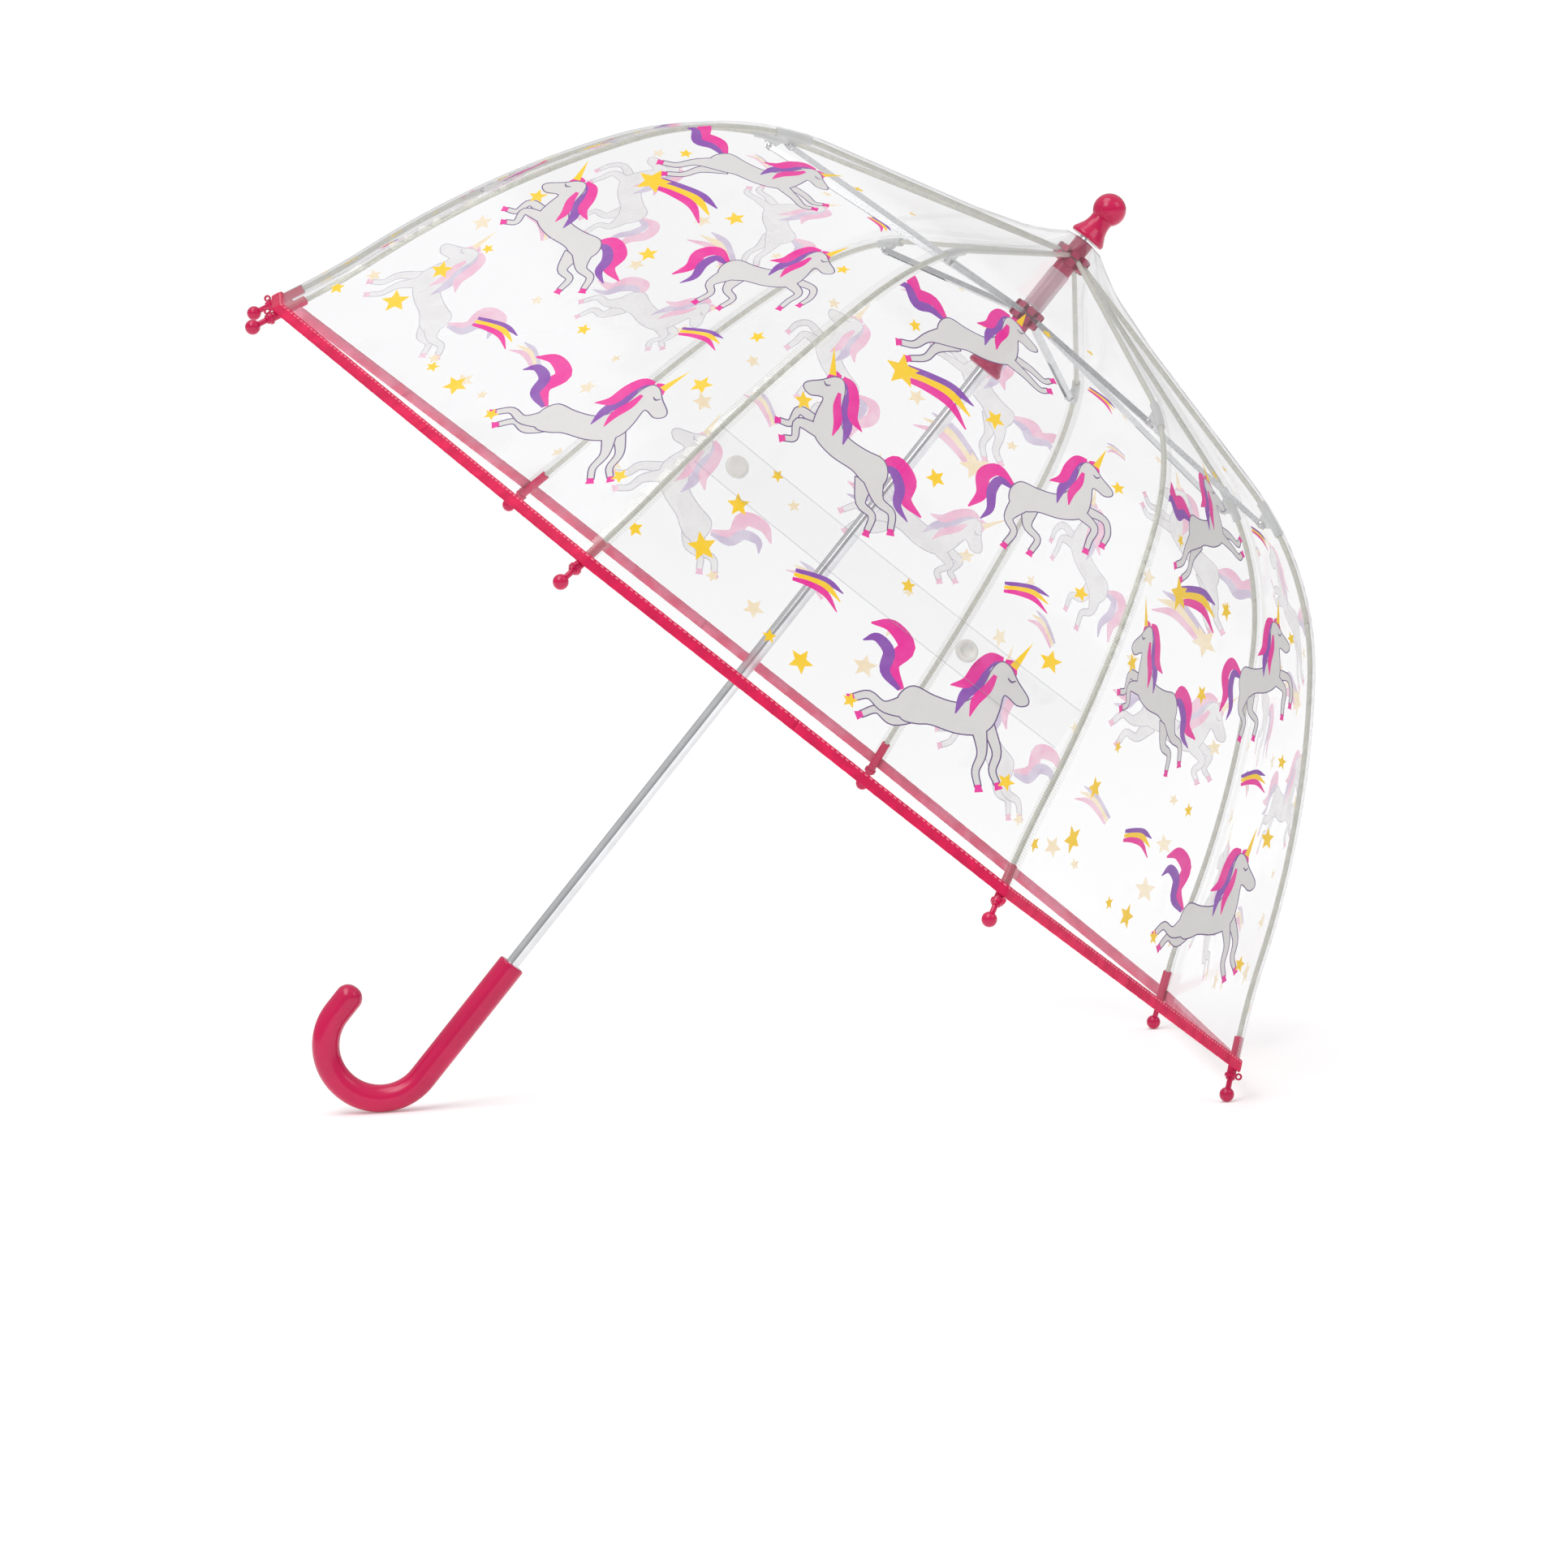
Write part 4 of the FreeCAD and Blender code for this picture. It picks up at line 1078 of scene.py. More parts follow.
@dataclass(frozen=True)
class Placed:
    """A group of patches put on a gore.

    Attributes:
        patches: what is printed.
        across: its middle, across the gore from its middle line, in millimetres.
        along: its middle, along the rib from the hinge, in millimetres.
        size: how much larger than drawn it is.
        angle: how far it is turned to the left.
        facing: 1 as drawn, or -1 mirrored.
    """

    patches: list[Patch]
    across: float
    along: float
    size: float = 1.0
    angle: float = 0.0
    facing: int = 1

    def on_gore(self, slant: float) -> list[Patch]:
        """The patches in the gore's plane, across and along, leaned over by the print's slant."""
        put = []
        for motif, loop in self.patches:
            flipped = loop * np.array([self.facing * self.size, self.size])
            leaned = turned_about(flipped, (0.0, 0.0), slant + self.angle)
            put.append((motif, np.stack([self.across + leaned[:, 0], self.along - leaned[:, 1]], axis=1)))
        return put


@dataclass(frozen=True)
class GorePattern:
    """The print of one gore, cut into flat triangles that each carry one motif.

    Attributes:
        slant: how far the print's upright is turned from the gore's middle line.
        seam_width: the welded seam along a rib, on one gore.
        step: the distance between the lines that let the film curve.
    """

    slant: float = 37.0
    seam_width: float = 5.0
    step: float = 10.0

    # (across, along, radius) of each small star
    STARS = (
        (-91.6, 423, 6.6), (-94, 454, 8.4), (-14.7, 337, 6.0), (-6, 283, 6.2), (-17, 470, 7.4),
        (84, 338, 4.8), (91, 382, 6.8), (6, 398, 4.4), (-96, 352, 5.6), (-70, 268, 4.2), (-5, 192, 4.0),
        (22, 172, 3.2), (-84, 396, 3.8), (108, 452, 5.2), (16, 470, 4.6), (-38, 470, 4.2), (70, 268, 4.4),
        (-128, 470, 5.0),
    )

    def figures(self) -> list[Placed]:
        """Everything printed on a gore."""
        made = [
            Placed(Pony(Gait.REAR).patches(), -56, 374, 1.04, 6, -1),
            Placed(Pony(Gait.CANTER).patches(), 46, 306, 0.98, -6, 1),
            Placed(Pony(Gait.LEAP).patches(), -32, 256, 1.06, -30, 1),
            Placed(Pony(Gait.KICK).patches(), 62, 440, 1.14, 4, 1),
            Placed(comet(44, True), -62, 297, 1.0, -24, 1),
            Placed(comet(30, False), -48, 434, 1.0, -22, 1),
            Placed(comet(27, False), 47, 364, 1.0, -12, 1),
            Placed(comet(24, False), 28, 214, 0.8, -40, 1),
        ]
        for index, (across, along, size) in enumerate(self.STARS):
            made.append(Placed([(Motif.YELLOW, star(size))], across, along, 1.0, 9 * index))
        return made

    def outlines(self, sheet: "FilmSheet") -> list[Patch]:
        """The whole gore, then its print, then its two seams, each as a flat loop in millimetres.

        Args:
            sheet: the film, which says how long and wide the gore is.

        Returns:
            What each loop carries, with its points.
        """
        start, end = sheet.start / MM, sheet.end / MM
        stops = np.arange(0, 1.0001, 1 / 60) * (end - start) + start
        widths = sheet.half_width(stops * MM) / MM
        within = np.maximum(widths - self.seam_width, 0.2)

        def between(left: Array, right: Array) -> Array:
            """The loop down one line and back up another."""
            return np.vstack([np.stack([left, stops], 1), np.stack([right, stops], 1)[::-1]])

        patches: list[Patch] = [(Motif.CLEAR, between(-widths, widths))]
        for figure in self.figures():
            patches += figure.on_gore(self.slant)
        return patches + [(Motif.SEAM, between(side * widths, side * within)) for side in (-1, 1)]

    def rulings(self, sheet: "FilmSheet", widest: float) -> list[tuple[Spot, Spot]]:
        """The straight cuts: across at even steps and at the flexes, and along, the middle among them.

        Args:
            sheet: the film, which says how long the gore is.
            widest: how far the cuts across reach on each side.

        Returns:
            The two ends of each cut.
        """
        start, end = sheet.start / MM, sheet.end / MM
        flexes = (RIB.first_flex / MM, RIB.second_flex / MM)
        steps = np.arange(start + self.step, end, self.step)
        rows = [v for v in steps if min(abs(v - flex) for flex in flexes) > self.step / 4]
        lines = [((-widest, v), (widest, v)) for v in (*rows, *flexes)]
        return lines + [((u, start - 1), (u, end + 1)) for u in np.arange(-12, 12.5) * self.step * 1.2]

    def cut(self, sheet: "FilmSheet") -> tuple[Array, Array, Array]:
        """Cuts the gore along its print, its seams, its middle and a grid of lines.

        Args:
            sheet: the film, which says how long and wide the gore is.

        Returns:
            The points, as across and along in millimetres, the triangles, and each triangle's motif.
        """
        patches = self.outlines(sheet)
        gore = patches[0][1]
        points: list[Any] = []
        faces: list[list[int]] = []
        for _, loop in patches:
            corners = list(range(len(points), len(points) + len(loop)))
            faces.append(corners if signed_area(loop) > 0 else corners[::-1])
            points += [tuple(point) for point in loop]
        edges = []
        for line in self.rulings(sheet, float(gore[:, 0].max()) + 1.0):
            edges.append((len(points), len(points) + 1))
            points += line
        cut = delaunay_2d_cdt([Vector(point) for point in points], edges, faces, 0, 1e-5)
        corners = np.array([tuple(point) for point in cut[0]])
        triangles = np.array([list(face) for face in cut[2]])
        middles = corners[triangles].mean(axis=1)
        motifs = np.full(len(triangles), -1)
        for motif, loop in patches:
            motifs[inside(loop, middles)] = motif.value
        printed = inside(gore, middles)
        return corners, triangles[printed], motifs[printed]


# --- film -------------------------------------------------------------------------------------------------

TABLE_STEP = 0.5 * MM
SMOOTHING = 12  # steps of the table on each side that a point is averaged over

@dataclass
class FilmSheet:
    """The clear film: eight gores held by the ribs, each nearly flat across and sagging a little inwards.

    Attributes:
        gap: the film above a rib's middle line.
        apex: (radius, height) of the tent around the shaft, from the shaft out.
        lands: how far along a rib the tent comes to lie on it.
        trim: how far the film's edge goes into its binding.
        rim_past_tip: how far past the start of the tips the rim is.
        binding: how wide the binding is.
        sag: how far the middle of a gore lies inside the straight line between its ribs.
    """

    gap: float = 3.2 * MM
    apex: tuple[tuple[float, float], ...] = ((4.6, -1.3), (10.6, -1.45), (21.0, -8.1), (36.0, -15.7))
    lands: float = 0.062
    trim: float = 2.0 * MM
    rim_past_tip: float = 19.5 * MM
    binding: float = 7.0 * MM
    sag: float = 3.6 * MM
    table: dict[str, Array] = field(default_factory=dict)

    def __post_init__(self) -> None:
        """Works out the film's line above a rib, from the shaft to the rim, as a smooth table."""
        tent = np.array(self.apex) * MM
        landing = np.array([[float(x) for x in self.above_rib(np.array([self.lands]), self.gap)]])
        tent = np.vstack([tent, landing])
        lengths = np.concatenate([[0.0], np.cumsum(np.linalg.norm(np.diff(tent, axis=0), axis=1))])
        along = np.arange(self.lands - lengths[-1], self.end + TABLE_STEP, TABLE_STEP)
        radius, height = self.above_rib(np.maximum(along, self.lands), self.gap)
        on_tent = along < self.lands
        tent_along = lengths + self.lands - lengths[-1]
        radius[on_tent] = np.interp(along[on_tent], tent_along, tent[:, 0])
        height[on_tent] = np.interp(along[on_tent], tent_along, tent[:, 1])
        kernel = np.hanning(2 * SMOOTHING + 1) / np.hanning(2 * SMOOTHING + 1).sum()
        padded = [np.pad(line, SMOOTHING, mode="reflect", reflect_type="odd") for line in (radius, height)]
        smooth = [np.convolve(line, kernel, mode="valid") for line in padded]
        blend = np.clip((along - self.lands - 10.0 * MM) / (10.0 * MM), 0, 1)
        radius, height = (blend * line + (1 - blend) * soft for line, soft in zip((radius, height), smooth))
        fall = np.arctan2(-np.gradient(height), np.gradient(radius))
        self.table = {"along": along, "radius": radius, "height": height, "fall": fall}

    @staticmethod
    def above_rib(along: Array, gap: float) -> tuple[Array, Array]:
        """Radius and height of a line that far outside the rib's middle line."""
        radius, height, fall = RIB.at(along)
        return radius + gap * np.sin(fall), height + gap * np.cos(fall)

    @property
    def end(self) -> float:
        """How far along the ribs the film reaches."""
        return RIB.tip_start + self.rim_past_tip - self.binding + self.trim

    @property
    def start(self) -> float:
        """Where the film starts, by the shaft."""
        return float(self.table["along"][0])

    def line(self, along: Array) -> tuple[Array, Array, Array]:
        """Radius, height and fall of the film above a rib."""
        known = self.table["along"]
        return tuple(np.interp(along, known, self.table[key]) for key in ("radius", "height", "fall"))

    def half_width(self, along: Array) -> Array:
        """Half the straight distance between two ribs' film."""
        return self.line(along)[0] * HALF_SINE

    def in_rib_plane(self, across: Array, along: Array, side: float) -> tuple[Array, Array]:
        """Where points of a half gore are, seen from the rib that carries it.

        A gore is straight across, less its sag: depth (1 - (1 - w)^2), w running from 0 at the rib to 1 at
        the gore's middle. The depth fades out towards the shaft and the rim.

        Args:
            across: distance from the gore's middle.
            along: distance along the rib.
            side: 1 for the gore after the rib, and -1 for the one before it.

        Returns:
            The points and the normals, each as columns away from the shaft, sideways and along the shaft.
        """
        sine, cosine = HALF_SINE, HALF_COSINE
        radius, height, fall = self.line(along)
        half = np.maximum(radius * sine, 1e-9)
        w = 1 - np.clip(np.abs(across) / half, 0, 1)
        near_shaft, near_rim = (along - 0.02) / 0.12, (self.end - along) / 0.10 + 0.25
        depth = self.sag * np.clip(near_shaft, 0, 1) * np.clip(near_rim, 0, 1)
        inward = depth * (1 - (1 - w) ** 2)
        tilt = 2 * depth * (1 - w) / half
        normal = np.stack([np.sin(fall) * cosine, np.sin(fall) * sine * side, np.cos(fall)], axis=1)
        along_chord = np.array([-sine, cosine * side, 0.0])
        flat = np.stack([radius * (1 - w * sine * sine), side * w * radius * sine * cosine, height], axis=1)
        points = flat - inward[:, None] * normal
        leaned = normal + tilt[:, None] * along_chord
        return points, leaned / np.linalg.norm(leaned, axis=1, keepdims=True)


@dataclass
class Canopy:
    """The film with its print and seams, in the pieces that fold with the ribs.

    Attributes:
        palette: the finishes.
        sheet: the film's shape.
        pattern: what is printed on each gore.
        weld: steps to a metre, within one of which two points become one.
    """

    palette: Palette
    sheet: FilmSheet = field(default_factory=FilmSheet)
    pattern: GorePattern = field(default_factory=GorePattern)
    weld: float = 1e6

    def build(self) -> list[bpy.types.Object]:
        """Makes every piece of film.

        Returns:
            The pieces.
        """
        points, triangles, motifs = self.pattern.cut(self.sheet)
        middles = points[triangles].mean(axis=1)
        limits = [-math.inf, RIB.first_flex / MM, RIB.second_flex / MM, math.inf]
        pieces = []
        for rib in range(1, RIBS + 1):
            for index, ring in enumerate(Ring):
                here = (middles[:, 1] > limits[index]) & (middles[:, 1] <= limits[index + 1])
                pieces.append(self.piece(rib, ring, points * MM, triangles[here], motifs[here]))
        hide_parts("canopy")
        return pieces

    def half(self, azimuth: float, side: float, points: Array, triangles: Array) -> tuple[Array, ...]:
        """Half a gore, hung from the rib that carries it.

        Args:
            azimuth: the rib's azimuth.
            side: 1 for the gore after the rib, and -1 for the one before it.
            points: the flat film's points.
            triangles: the triangles of this half.

        Returns:
            Its points, their normals, the same points lying flat, and its triangles, wound to face outwards.
        """
        used, corners = np.unique(triangles, return_inverse=True)
        corners = corners.reshape(-1, 3)
        flat = points[used]
        local, normals = self.sheet.in_rib_plane(flat[:, 0], flat[:, 1], side)
        placed, facing = AXES.points(azimuth, *local.T), AXES.vectors(azimuth, *normals.T)
        a, b, c = (placed[corners[:, n]] for n in range(3))
        inside_out = np.einsum("ij,ij->i", np.cross(b - a, c - a), facing[corners[:, 0]]) < 0
        corners[inside_out] = corners[inside_out][:, ::-1]
        return placed, facing, flat, corners

    def piece(
        self, rib: int, ring: Ring, points: Array, triangles: Array, motifs: Array
    ) -> bpy.types.Object:
        """The film around one stretch of a rib: half of the gore on each side of it, welded along the rib.

        Args:
            rib: the rib, counted from 1.
            ring: the stretch of the rib.
            points: the flat film's points, across the gore and along it.
            triangles: the triangles beside this stretch.
            motifs: what each triangle shows.

        Returns:
            The piece.
        """
        azimuth = azimuth_of(rib)
        after = points[triangles][:, :, 0].mean(axis=1) < 0
        sides = ((1.0, after), (-1.0, ~after))
        halves = [self.half(azimuth, side, points, triangles[chosen]) for side, chosen in sides]
        placed, facing, flat = (np.vstack([made[n] for made in halves]) for n in range(3))
        corners = np.vstack([halves[0][3], halves[1][3] + len(halves[0][0])])
        kinds = np.concatenate([motifs[after], motifs[~after]])
        snapped = np.round(placed * self.weld)
        welded, first, index = np.unique(snapped, axis=0, return_index=True, return_inverse=True)
        faces = index.ravel()[corners]
        solid = (faces != np.roll(faces, 1, axis=1)).all(axis=1)
        faces = faces[solid]
        made = make_object(f"film_{ring.value}_{rib}", placed[first], faces)
        self.dress(made, kinds[solid])
        summed = np.zeros((len(welded), 3))
        np.add.at(summed, index.ravel(), facing)
        summed /= np.linalg.norm(summed, axis=1, keepdims=True)
        made.data.normals_split_custom_set_from_vertices(summed.tolist())
        add_map(made, flat[first])
        area = triangle_area(placed[first], faces)
        spread = float(np.ptp(flat[:, 1]))
        width = max(2 * float(self.sheet.half_width(flat[:, 1]).max()), area / spread)
        gather(made, rib, ring)
        return made

    def dress(self, made: bpy.types.Object, kinds: Array) -> None:
        """Gives each face the finish of its motif."""
        finishes = {Motif.CLEAR: self.palette.film, Motif.SEAM: self.palette.seam, **self.palette.inks}
        present = [motif for motif in Motif if np.any(kinds == motif.value)]
        place = {motif.value: index for index, motif in enumerate(present)}
        for motif in present:
            made.data.materials.append(finishes[motif])
        made.data.polygons.foreach_set("material_index", np.array([place[kind] for kind in kinds]))


def add_map(made: bpy.types.Object, flat: Array) -> None:
    """Stores (across, along) of every vertex as the piece's map."""
    loops = np.zeros(len(made.data.loops), int)
    made.data.loops.foreach_get("vertex_index", loops)
    layer = made.data.uv_layers.new(name=MAP_NAME)
    layer.data.foreach_set("uv", flat[loops].ravel())


def triangle_area(points: Array, faces: Array) -> float:
    """The area of a mesh of triangles."""
    a, b, c = (points[faces[:, n]] for n in range(3))
    return float(np.linalg.norm(np.cross(b - a, c - a), axis=1).sum() / 2)


# --- trim, strap and rods ---------------------------------------------------------------------------------


@dataclass
class Binding:
    """The tape folded over the film's rim, in eight lengths that each cross a rib.

    Attributes:
        palette: the finishes.
        sheet: the film's shape, which gives the tape's width too.
        thickness: how thick the folded tape is.
        stations: how many sections it has along it.
        sides: how many points each section has.
        height: how far its middle is above a rib's middle line.
        puckers: (depth, length) of each wave along it.
        inner_map: how far on its map the inner face is from the outer one.
        turn: how quickly it turns the corner over a rib.
    """

    palette: Palette
    sheet: FilmSheet
    thickness: float = 1.7 * MM
    stations: int = 121
    sides: int = 28
    height: float = 3.9 * MM
    puckers: tuple[tuple[float, float], ...] = ((0.10 * MM, 5.3 * MM), (0.08 * MM, 11.7 * MM))
    inner_map: float = 20.0 * MM
    turn: float = 60.0

    def build(self) -> list[bpy.types.Object]:
        """Makes the eight lengths of tape.

        Returns:
            The pieces.
        """
        pieces = [self.length_over(rib) for rib in range(1, RIBS + 1)]
        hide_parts("rim_binding")
        return pieces

    def length_over(self, rib: int) -> bpy.types.Object:
        """The tape from the middle of one gore, over a rib, to the middle of the next.

        The section is a flattened loop, x = cos^0.5 and y = sin^0.83, carried from side to side along the
        film's rim. Puckers are sines of the distance along it.

        Args:
            rib: the rib, counted from 1.

        Returns:
            The piece.
        """
        width = self.sheet.binding
        cosine, sine = (part[:, 0] for part in circle_angles(self.sides))
        flat = np.sign(cosine) * np.abs(cosine) ** 0.5 * width / 2
        up = np.sign(sine) * np.abs(sine) ** 0.83 * self.thickness / 2
        middle = self.sheet.end - self.sheet.trim + width / 2
        share = np.linspace(-1, 1, self.stations)
        run = share * float(self.sheet.half_width(np.array([self.sheet.end]))[0])
        pucker = sum(
            depth * np.sin(run * 2 * np.pi / pitch + shift)
            for (depth, pitch), shift in zip(self.puckers, (0, rib))
        )
        along = np.tile(middle + flat, (self.stations, 1))
        points = self.chord_points(share, along, up[None, :] + pucker[:, None])
        rings = AXES.points(azimuth_of(rib), *np.moveaxis(points, -1, 0))
        made = lofted(f"binding_{rib}", rings, outside_in=True)
        made.data.materials.append(self.palette.binding)
        across = flat + width / 2 + np.where(up < 0, self.inner_map, 0.0)
        flat_map = np.stack(np.broadcast_arrays(across[None, :], run[:, None]), axis=-1)
        add_map(made, flat_map.reshape(-1, 2))
        gather(made, rib, Ring.OUTER)
        return made

    def chord_points(self, share: Array, along: Array, lift: Array) -> Array:
        """Points on the straight lines from a rib to the middles of the gores on both sides of it.

        Args:
            share: where each row is, from -1 at the middle of the gore before the rib to 1 after it.
            along: how far each point is along the rib.
            lift: how far each point is off the line, outwards.

        Returns:
            The points, as away from the shaft, sideways and along the shaft.
        """
        radius, height, fall = RIB.at(along.ravel())
        radius = (radius + self.height * np.sin(fall)).reshape(along.shape)
        height = (height + self.height * np.cos(fall)).reshape(along.shape)
        fall = fall.reshape(along.shape)
        w, side = np.abs(share)[:, None], np.tanh(share * self.turn)[:, None]
        radial = radius * (1 - w * HALF_SINE * HALF_SINE)
        radial = radial + lift * np.sin(fall) * np.sqrt(1 - (HALF_SINE * side) ** 2)
        sideways = np.sign(share)[:, None] * w * radius * HALF_SINE * HALF_COSINE
        sideways = sideways + lift * np.sin(fall) * HALF_SINE * side
        return np.stack([radial, sideways, height + lift * np.cos(fall)], axis=-1)


@dataclass
class Strap:
    """The clear tie strap laid across one gore, and the two halves of its press stud.

    Attributes:
        palette: the finishes.
        sheet: the film's shape.
        rib: the rib that it is welded to.
        start: how far along that rib it starts.
        width: how wide it is.
        lift: how far it is above the film.
        free_end: how far short of the next rib it ends.
        stud_inset: how far the stud is from the first rib.
        socket_inset: how far the socket is from the free end.
        share_of_sag: how much of the film's sag it follows.
        grid: how many rows and columns its mesh has.
    """

    palette: Palette
    sheet: FilmSheet
    rib: int = 6
    start: float = RIB.tip_start - 91.5 * MM
    width: float = 26.0 * MM
    lift: float = 0.6 * MM
    free_end: float = 9.0 * MM
    stud_inset: float = 22.0 * MM
    socket_inset: float = 66.0 * MM
    share_of_sag: float = 0.85
    grid: tuple[int, int] = (9, 90)

    # A low domed disc with a shallow dimple, and a ring around a socket: (radius, height) in millimetres.
    STUD = ((0.05, 0), (6.2, 0), (6.4, 0.4), (6.2, 1.2), (5.6, 1.7), (4.2, 1.85), (2.6, 1.7), (0.05, 1.55))
    SOCKET = (
        (0.05, 0), (6.2, 0), (6.4, 0.4), (6.2, 1.3), (5.4, 1.8), (4.3, 1.8), (3.6, 1.3), (3.2, 0.6),
        (0.05, 0.5),
    )

    @property
    def half(self) -> float:
        """Half the width of its gore, along its middle."""
        return float(self.sheet.half_width(np.array([self.start + self.width / 2]))[0])

    def build(self) -> list[bpy.types.Object]:
        """Makes the strap and its studs.

        Returns:
            The pieces.
        """
        strap = self.strap()
        stud = self.disc("snap_stud_face", self.stud_inset - self.half, self.STUD)
        socket = self.disc("snap_socket_face", self.half - self.free_end - self.socket_inset, self.SOCKET)
        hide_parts("tie_strap")
        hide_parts("snap_stud")
        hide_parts("tie_strap")
        return [strap, stud, socket]

    def surface(self, across: Array, along: Array) -> tuple[Array, Array]:
        """The surface just above the film of the strap's gore.

        Args:
            across: distances from the gore's middle.
            along: distances along the ribs.

        Returns:
            Its points and its normals.
        """
        azimuth = azimuth_of(self.rib) + HALF_STEP
        radius, height, fall = self.sheet.line(along)
        w = 1 - np.clip(np.abs(across) / (radius * HALF_SINE), 0, 1)
        depth = self.sheet.sag * (1 - (1 - w) ** 2) * self.share_of_sag - self.lift
        normal = np.stack([np.sin(fall) * HALF_COSINE, 0 * fall, np.cos(fall)], axis=-1)
        normal /= np.linalg.norm(normal, axis=-1, keepdims=True)
        flat = np.stack([radius * HALF_COSINE, across, height], axis=-1) - depth[..., None] * normal
        points, normals = (np.moveaxis(given, -1, 0) for given in (flat, normal))
        return AXES.points(azimuth, *points), AXES.vectors(azimuth, *normals)

    def strap(self) -> bpy.types.Object:
        """The strap: a band from the seam over the first rib to short of the second."""
        rows, columns = self.grid
        length = 2 * self.half - self.free_end
        share = np.linspace(0, 1, columns)[None, :] + np.zeros((rows, 1))
        across = -self.half * 0.985 + share * length
        along = self.start + np.linspace(0, 1, rows)[:, None] * self.width + 0 * share
        points, _ = self.surface(across, along)
        made = make_object("strap", points.reshape(-1, 3), grid_faces(rows, columns, wrap=False)[:, ::-1])
        made.data.materials.append(self.palette.strap)
        add_map(made, np.stack([along.ravel() - self.start, across.ravel()], axis=1))
        gather(made, self.rib, Ring.OUTER)
        return made

    def disc(self, name: str, across: float, profile: tuple[tuple[float, float], ...]) -> bpy.types.Object:
        """A small turned disc on the strap.

        Args:
            name: the piece's name.
            across: how far it is from the gore's middle.
            profile: its (radius, height) rows, in millimetres.

        Returns:
            The piece.
        """
        foot, normal = self.surface(np.array([across]), np.array([self.start + self.width / 2]))
        made = turned(name, foot[0], normal[0], np.array(profile) * MM, 40)
        made.data.materials.append(self.palette.snap)
        gather(made, self.rib, Ring.OUTER)
        return made


@dataclass
class Ribs:
    """The glass fibre ribs, each in two lengths that meet between its flex points.

    Attributes:
        palette: the finishes.
        radius: the rod's radius.
        bend: how far on each side of a flex point the rod bends.
        behind_hinge: how far the rod starts behind its hinge.
        in_tip: how far it goes into its tip.
        stations: how many sections each length has.
    """

    palette: Palette
    radius: float = 1.48 * MM
    bend: float = 14.0 * MM
    behind_hinge: float = 1.5 * MM
    in_tip: float = 18.5 * MM
    stations: int = 90

    def build(self) -> list[bpy.types.Object]:
        """Makes both lengths of every rib.

        Returns:
            The pieces.
        """
        join = (RIB.first_flex + RIB.second_flex) / 2
        pieces = []
        for rib in range(1, RIBS + 1):
            inner = self.length(rib, "upper", -self.behind_hinge, join)
            self.bend_at(inner, rib, RIB.first_flex)
            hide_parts(f"rib_inner_{rib}", f"rib_mid_{rib}")
            outer = self.length(rib, "lower", join, RIB.tip_start + self.in_tip)
            self.bend_at(outer, rib, RIB.second_flex)
            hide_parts(f"rib_outer_{rib}")
            pieces += [inner, outer]
        return pieces

    def length(self, rib: int, name: str, start: float, end: float) -> bpy.types.Object:
        """One length of rod along the rib's middle line.

        Args:
            rib: the rib, counted from 1.
            name: the length's name.
            start: how far along the rib it starts.
            end: how far along the rib it ends.

        Returns:
            The piece.
        """
        along = np.linspace(start, end, self.stations)
        radius, height, _ = RIB.at(along)
        line = AXES.points(azimuth_of(rib), radius, 0 * radius, height)
        _, tangent = AXES.around(azimuth_of(rib))
        made = tube(f"rib_{name}_{rib}", line, self.radius, tangent)
        made.data.materials.append(self.palette.rod)
        return made

    def bend_at(self, made: bpy.types.Object, rib: int, where: float) -> None:
        """Works out where a length of rod bends about a flex point, and bakes its placement into its mesh."""
        radius, height, _ = RIB.at(np.array([where - self.bend, where + self.bend]))
        start, end = AXES.points(azimuth_of(rib), radius, 0 * radius, height)
        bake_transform(made)


@dataclass
class Rivets:
    """The domed heads of the rivets that join the stretchers to their clips.

    Attributes:
        palette: the finishes.
        head: a head's radius.
        drop: how far a rivet is below the rib's middle line.
        behind_flex: how far it is behind the rib's shoulder hinge.
        reach: how far a head stands from the rib's plane.
    """

    palette: Palette
    head: float = 1.7 * MM
    drop: float = 6.0 * MM
    behind_flex: float = 11.6 * MM
    reach: float = 2.4 * MM

    # (radius, height) as shares of a head's radius
    DOME = ((0.03, 0.0), (1.0, 0.0), (0.92, 0.24), (0.55, 0.44), (0.03, 0.5))

    def build(self) -> list[bpy.types.Object]:
        """Makes the two heads of every rivet.

        Returns:
            The pieces.
        """
        profile = self.head * np.array(self.DOME)
        radius, height, fall = RIB.at(np.array([RIB.first_flex - self.behind_flex]))
        radius, height = radius - self.drop * np.sin(fall), height - self.drop * np.cos(fall)
        pieces = []
        for rib in range(1, RIBS + 1):
            azimuth = azimuth_of(rib)
            centre = AXES.points(azimuth, radius, 0 * radius, height)[0]
            _, tangent = AXES.around(azimuth)
            for name, side in (("left", -1.0), ("right", 1.0)):
                out = side * tangent
                head = turned(f"rivet_{name}_{rib}", centre + self.reach * out, out, profile, 20)
                head.data.materials.append(self.palette.steel)
                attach(head, f"stretcher_{rib}_body")
                pieces.append(head)
        return pieces


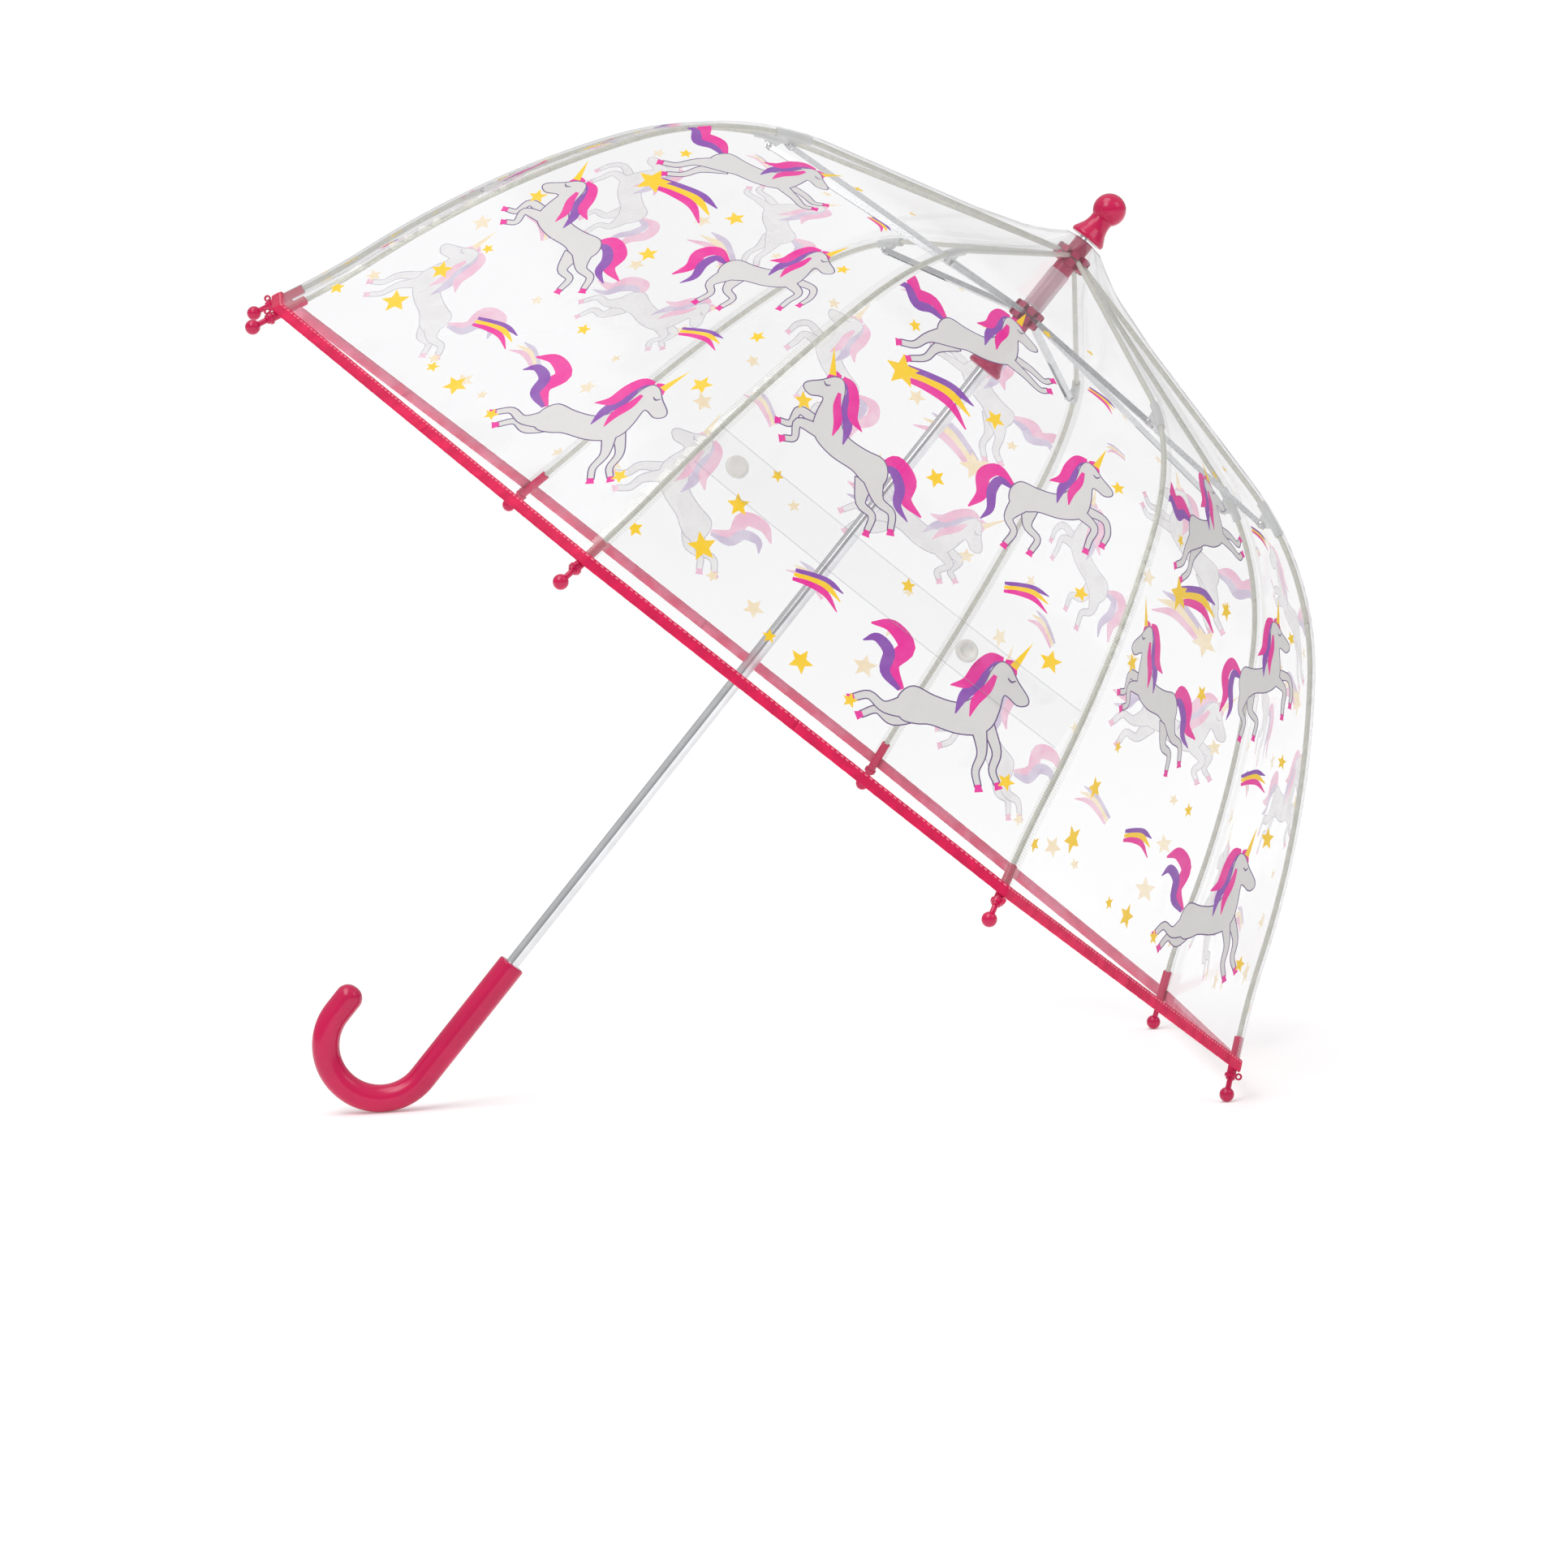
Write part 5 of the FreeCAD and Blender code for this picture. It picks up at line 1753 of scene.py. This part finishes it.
@dataclass
class Hardware:
    """The frame's own solids that keep their shapes: hubs, shaft, handle, clips, tips and stretchers.

    Attributes:
        palette: the finishes.
    """

    palette: Palette

    def build(self) -> list[bpy.types.Object]:
        """Gives every shown solid its finish.

        Returns:
            The pieces.
        """
        palette = self.palette
        finishes = {
            "shaft": palette.chrome, "stop_sleeve": palette.sleeve,
            "handle": palette.pink, "finial": palette.pink,
            "notch": palette.hub, "notch_ring": palette.wire,
            "runner": palette.hub, "runner_ring": palette.wire,
        }
        every_rib = {"bracket": palette.milky, "tip": palette.pink, "stretcher": palette.steel}
        for rib in range(1, RIBS + 1):
            finishes |= {f"{name}_{rib}": finish for name, finish in every_rib.items()}
        for name, finish in finishes.items():
            node = frame["nodes"][name]
            node.data.materials.clear()
            node.data.materials.append(finish)
        return [frame["nodes"][name] for name in finishes]


# --- studio -----------------------------------------------------------------------------------------------


@dataclass(frozen=True)
class Studio:
    """The camera, the floor and the lights.

    Attributes:
        target: what the camera looks at.
        azimuth: how far the camera is round to the right of straight ahead.
        elevation: how high it looks from.
        distance: how far it is from the target.
        roll: how far it is turned about its own line of sight.
        lens: its focal length in millimetres.
        walls: how bright the room is level with the floor.
        zenith: how bright it is overhead.
        backdrop: how bright the room looks to the camera.
        floor_half: half the floor's width.
        sun_power: how strong the light from overhead is.
        sun_spread: how wide it looks, which softens its shadows.
        sun_tilt: its turns about X and Y.
    """

    target: tuple[float, float, float] = (-0.0011, 0.0, 0.1765)
    azimuth: float = -4.504
    elevation: float = 6.165
    distance: float = 3.5027
    roll: float = -2.716
    lens: float = 139.84
    walls: float = 0.36
    zenith: float = 0.72
    backdrop: float = 1.02
    floor_half: float = 14.0
    sun_power: float = 0.95
    sun_spread: float = 38.0
    sun_tilt: tuple[float, float] = (10.0, -14.0)

    def camera(self) -> None:
        """Sets up the camera at the angle that the umbrella is seen from."""
        turn, rise, roll = (math.radians(angle) for angle in (self.azimuth, self.elevation, self.roll))
        back = Vector((math.sin(turn) * math.cos(rise), -math.cos(turn) * math.cos(rise), math.sin(rise)))
        right = Vector((0, 0, 1)).cross(back).normalized()
        up = back.cross(right)
        rolled = right * math.cos(roll) + up * math.sin(roll)
        risen = up * math.cos(roll) - right * math.sin(roll)
        data = bpy.data.cameras.new("camera")
        data.lens, data.sensor_width, data.clip_end = self.lens, 36.0, 50.0
        camera = bpy.data.objects.new("camera", data)
        place = Matrix((rolled, risen, back)).transposed().to_4x4()
        place.translation = Vector(self.target) + back * self.distance
        camera.matrix_world = place
        bpy.context.scene.collection.objects.link(camera)
        bpy.context.scene.camera = camera

    def floor(self) -> None:
        """Lays the floor."""
        corners = self.floor_half * np.array([(-1, -1, 0), (1, -1, 0), (1, 1, 0), (-1, 1, 0)])
        floor = make_object("floor", corners, [(0, 1, 2, 3)], smooth=False)
        floor.data.materials.append(Floor().material())

    def lights(self) -> None:
        """Hangs two soft boxes and a broad sun, and lights the room a little more from above."""
        world = bpy.data.worlds.new("room")
        nodes = Nodes(world)
        seen = nodes.add("ShaderNodeLightPath").outputs["Is Camera Ray"]
        heading = nodes.add("ShaderNodeTexCoord").outputs["Generated"]
        height = Value(nodes, nodes.add("ShaderNodeSeparateXYZ", Vector=heading).outputs["Z"])
        lit = height.smooth(-0.1, 0.9) * (self.zenith - self.walls) + self.walls
        strength = lit + (self.backdrop - lit) * Value(nodes, seen)
        shader = nodes.add("ShaderNodeBackground", Color=opaque((1.0, 1.0, 1.0)), Strength=strength)
        nodes.add("ShaderNodeOutputWorld", Surface=shader.outputs["Background"])
        bpy.context.scene.world = world
        self.soft_box("key", (-1.5, -2.2, 2.9), 1.6, 30.0)
        self.soft_box("fill", (2.2, -1.2, 2.0), 1.2, 8.0)
        data = bpy.data.lights.new("overhead", "SUN")
        data.energy, data.angle = self.sun_power, math.radians(self.sun_spread)
        overhead = bpy.data.objects.new("overhead", data)
        overhead.rotation_euler = (*(math.radians(angle) for angle in self.sun_tilt), 0)
        bpy.context.scene.collection.objects.link(overhead)
        bpy.context.scene.view_settings.view_transform = "Standard"

    @staticmethod
    def soft_box(name: str, place: tuple[float, float, float], size: float, power: float) -> None:
        """A square area light that faces the umbrella.

        Args:
            name: the light's name.
            place: where it hangs.
            size: how wide it is.
            power: how strong it is, in watts.
        """
        data = bpy.data.lights.new(name, "AREA")
        data.size, data.energy = size, power
        light = bpy.data.objects.new(name, data)
        light.location = place
        sight = Vector((0, 0, 0.3)) - Vector(place)
        light.rotation_euler = sight.to_track_quat("-Z", "Y").to_euler()
        bpy.context.scene.collection.objects.link(light)


def report(title: str, pieces: list[bpy.types.Object]) -> None:
    """Logs what a sub-assembly made."""
    for piece in pieces:
        LOG.info("%s: %s, %d faces", title, piece.name, len(piece.data.polygons))


def main() -> None:
    """Builds the studio and the umbrella."""
    logging.basicConfig(level=logging.INFO, format="%(message)s")
    studio = Studio()
    studio.camera()
    studio.floor()
    studio.lights()
    palette = Palette()
    canopy = Canopy(palette)
    report("film", canopy.build())
    report("binding", Binding(palette, canopy.sheet).build())
    report("strap", Strap(palette, canopy.sheet).build())
    report("ribs", Ribs(palette).build())
    report("rivets", Rivets(palette).build())
    report("frame", Hardware(palette).build())


if __name__ == "__main__":
    main()
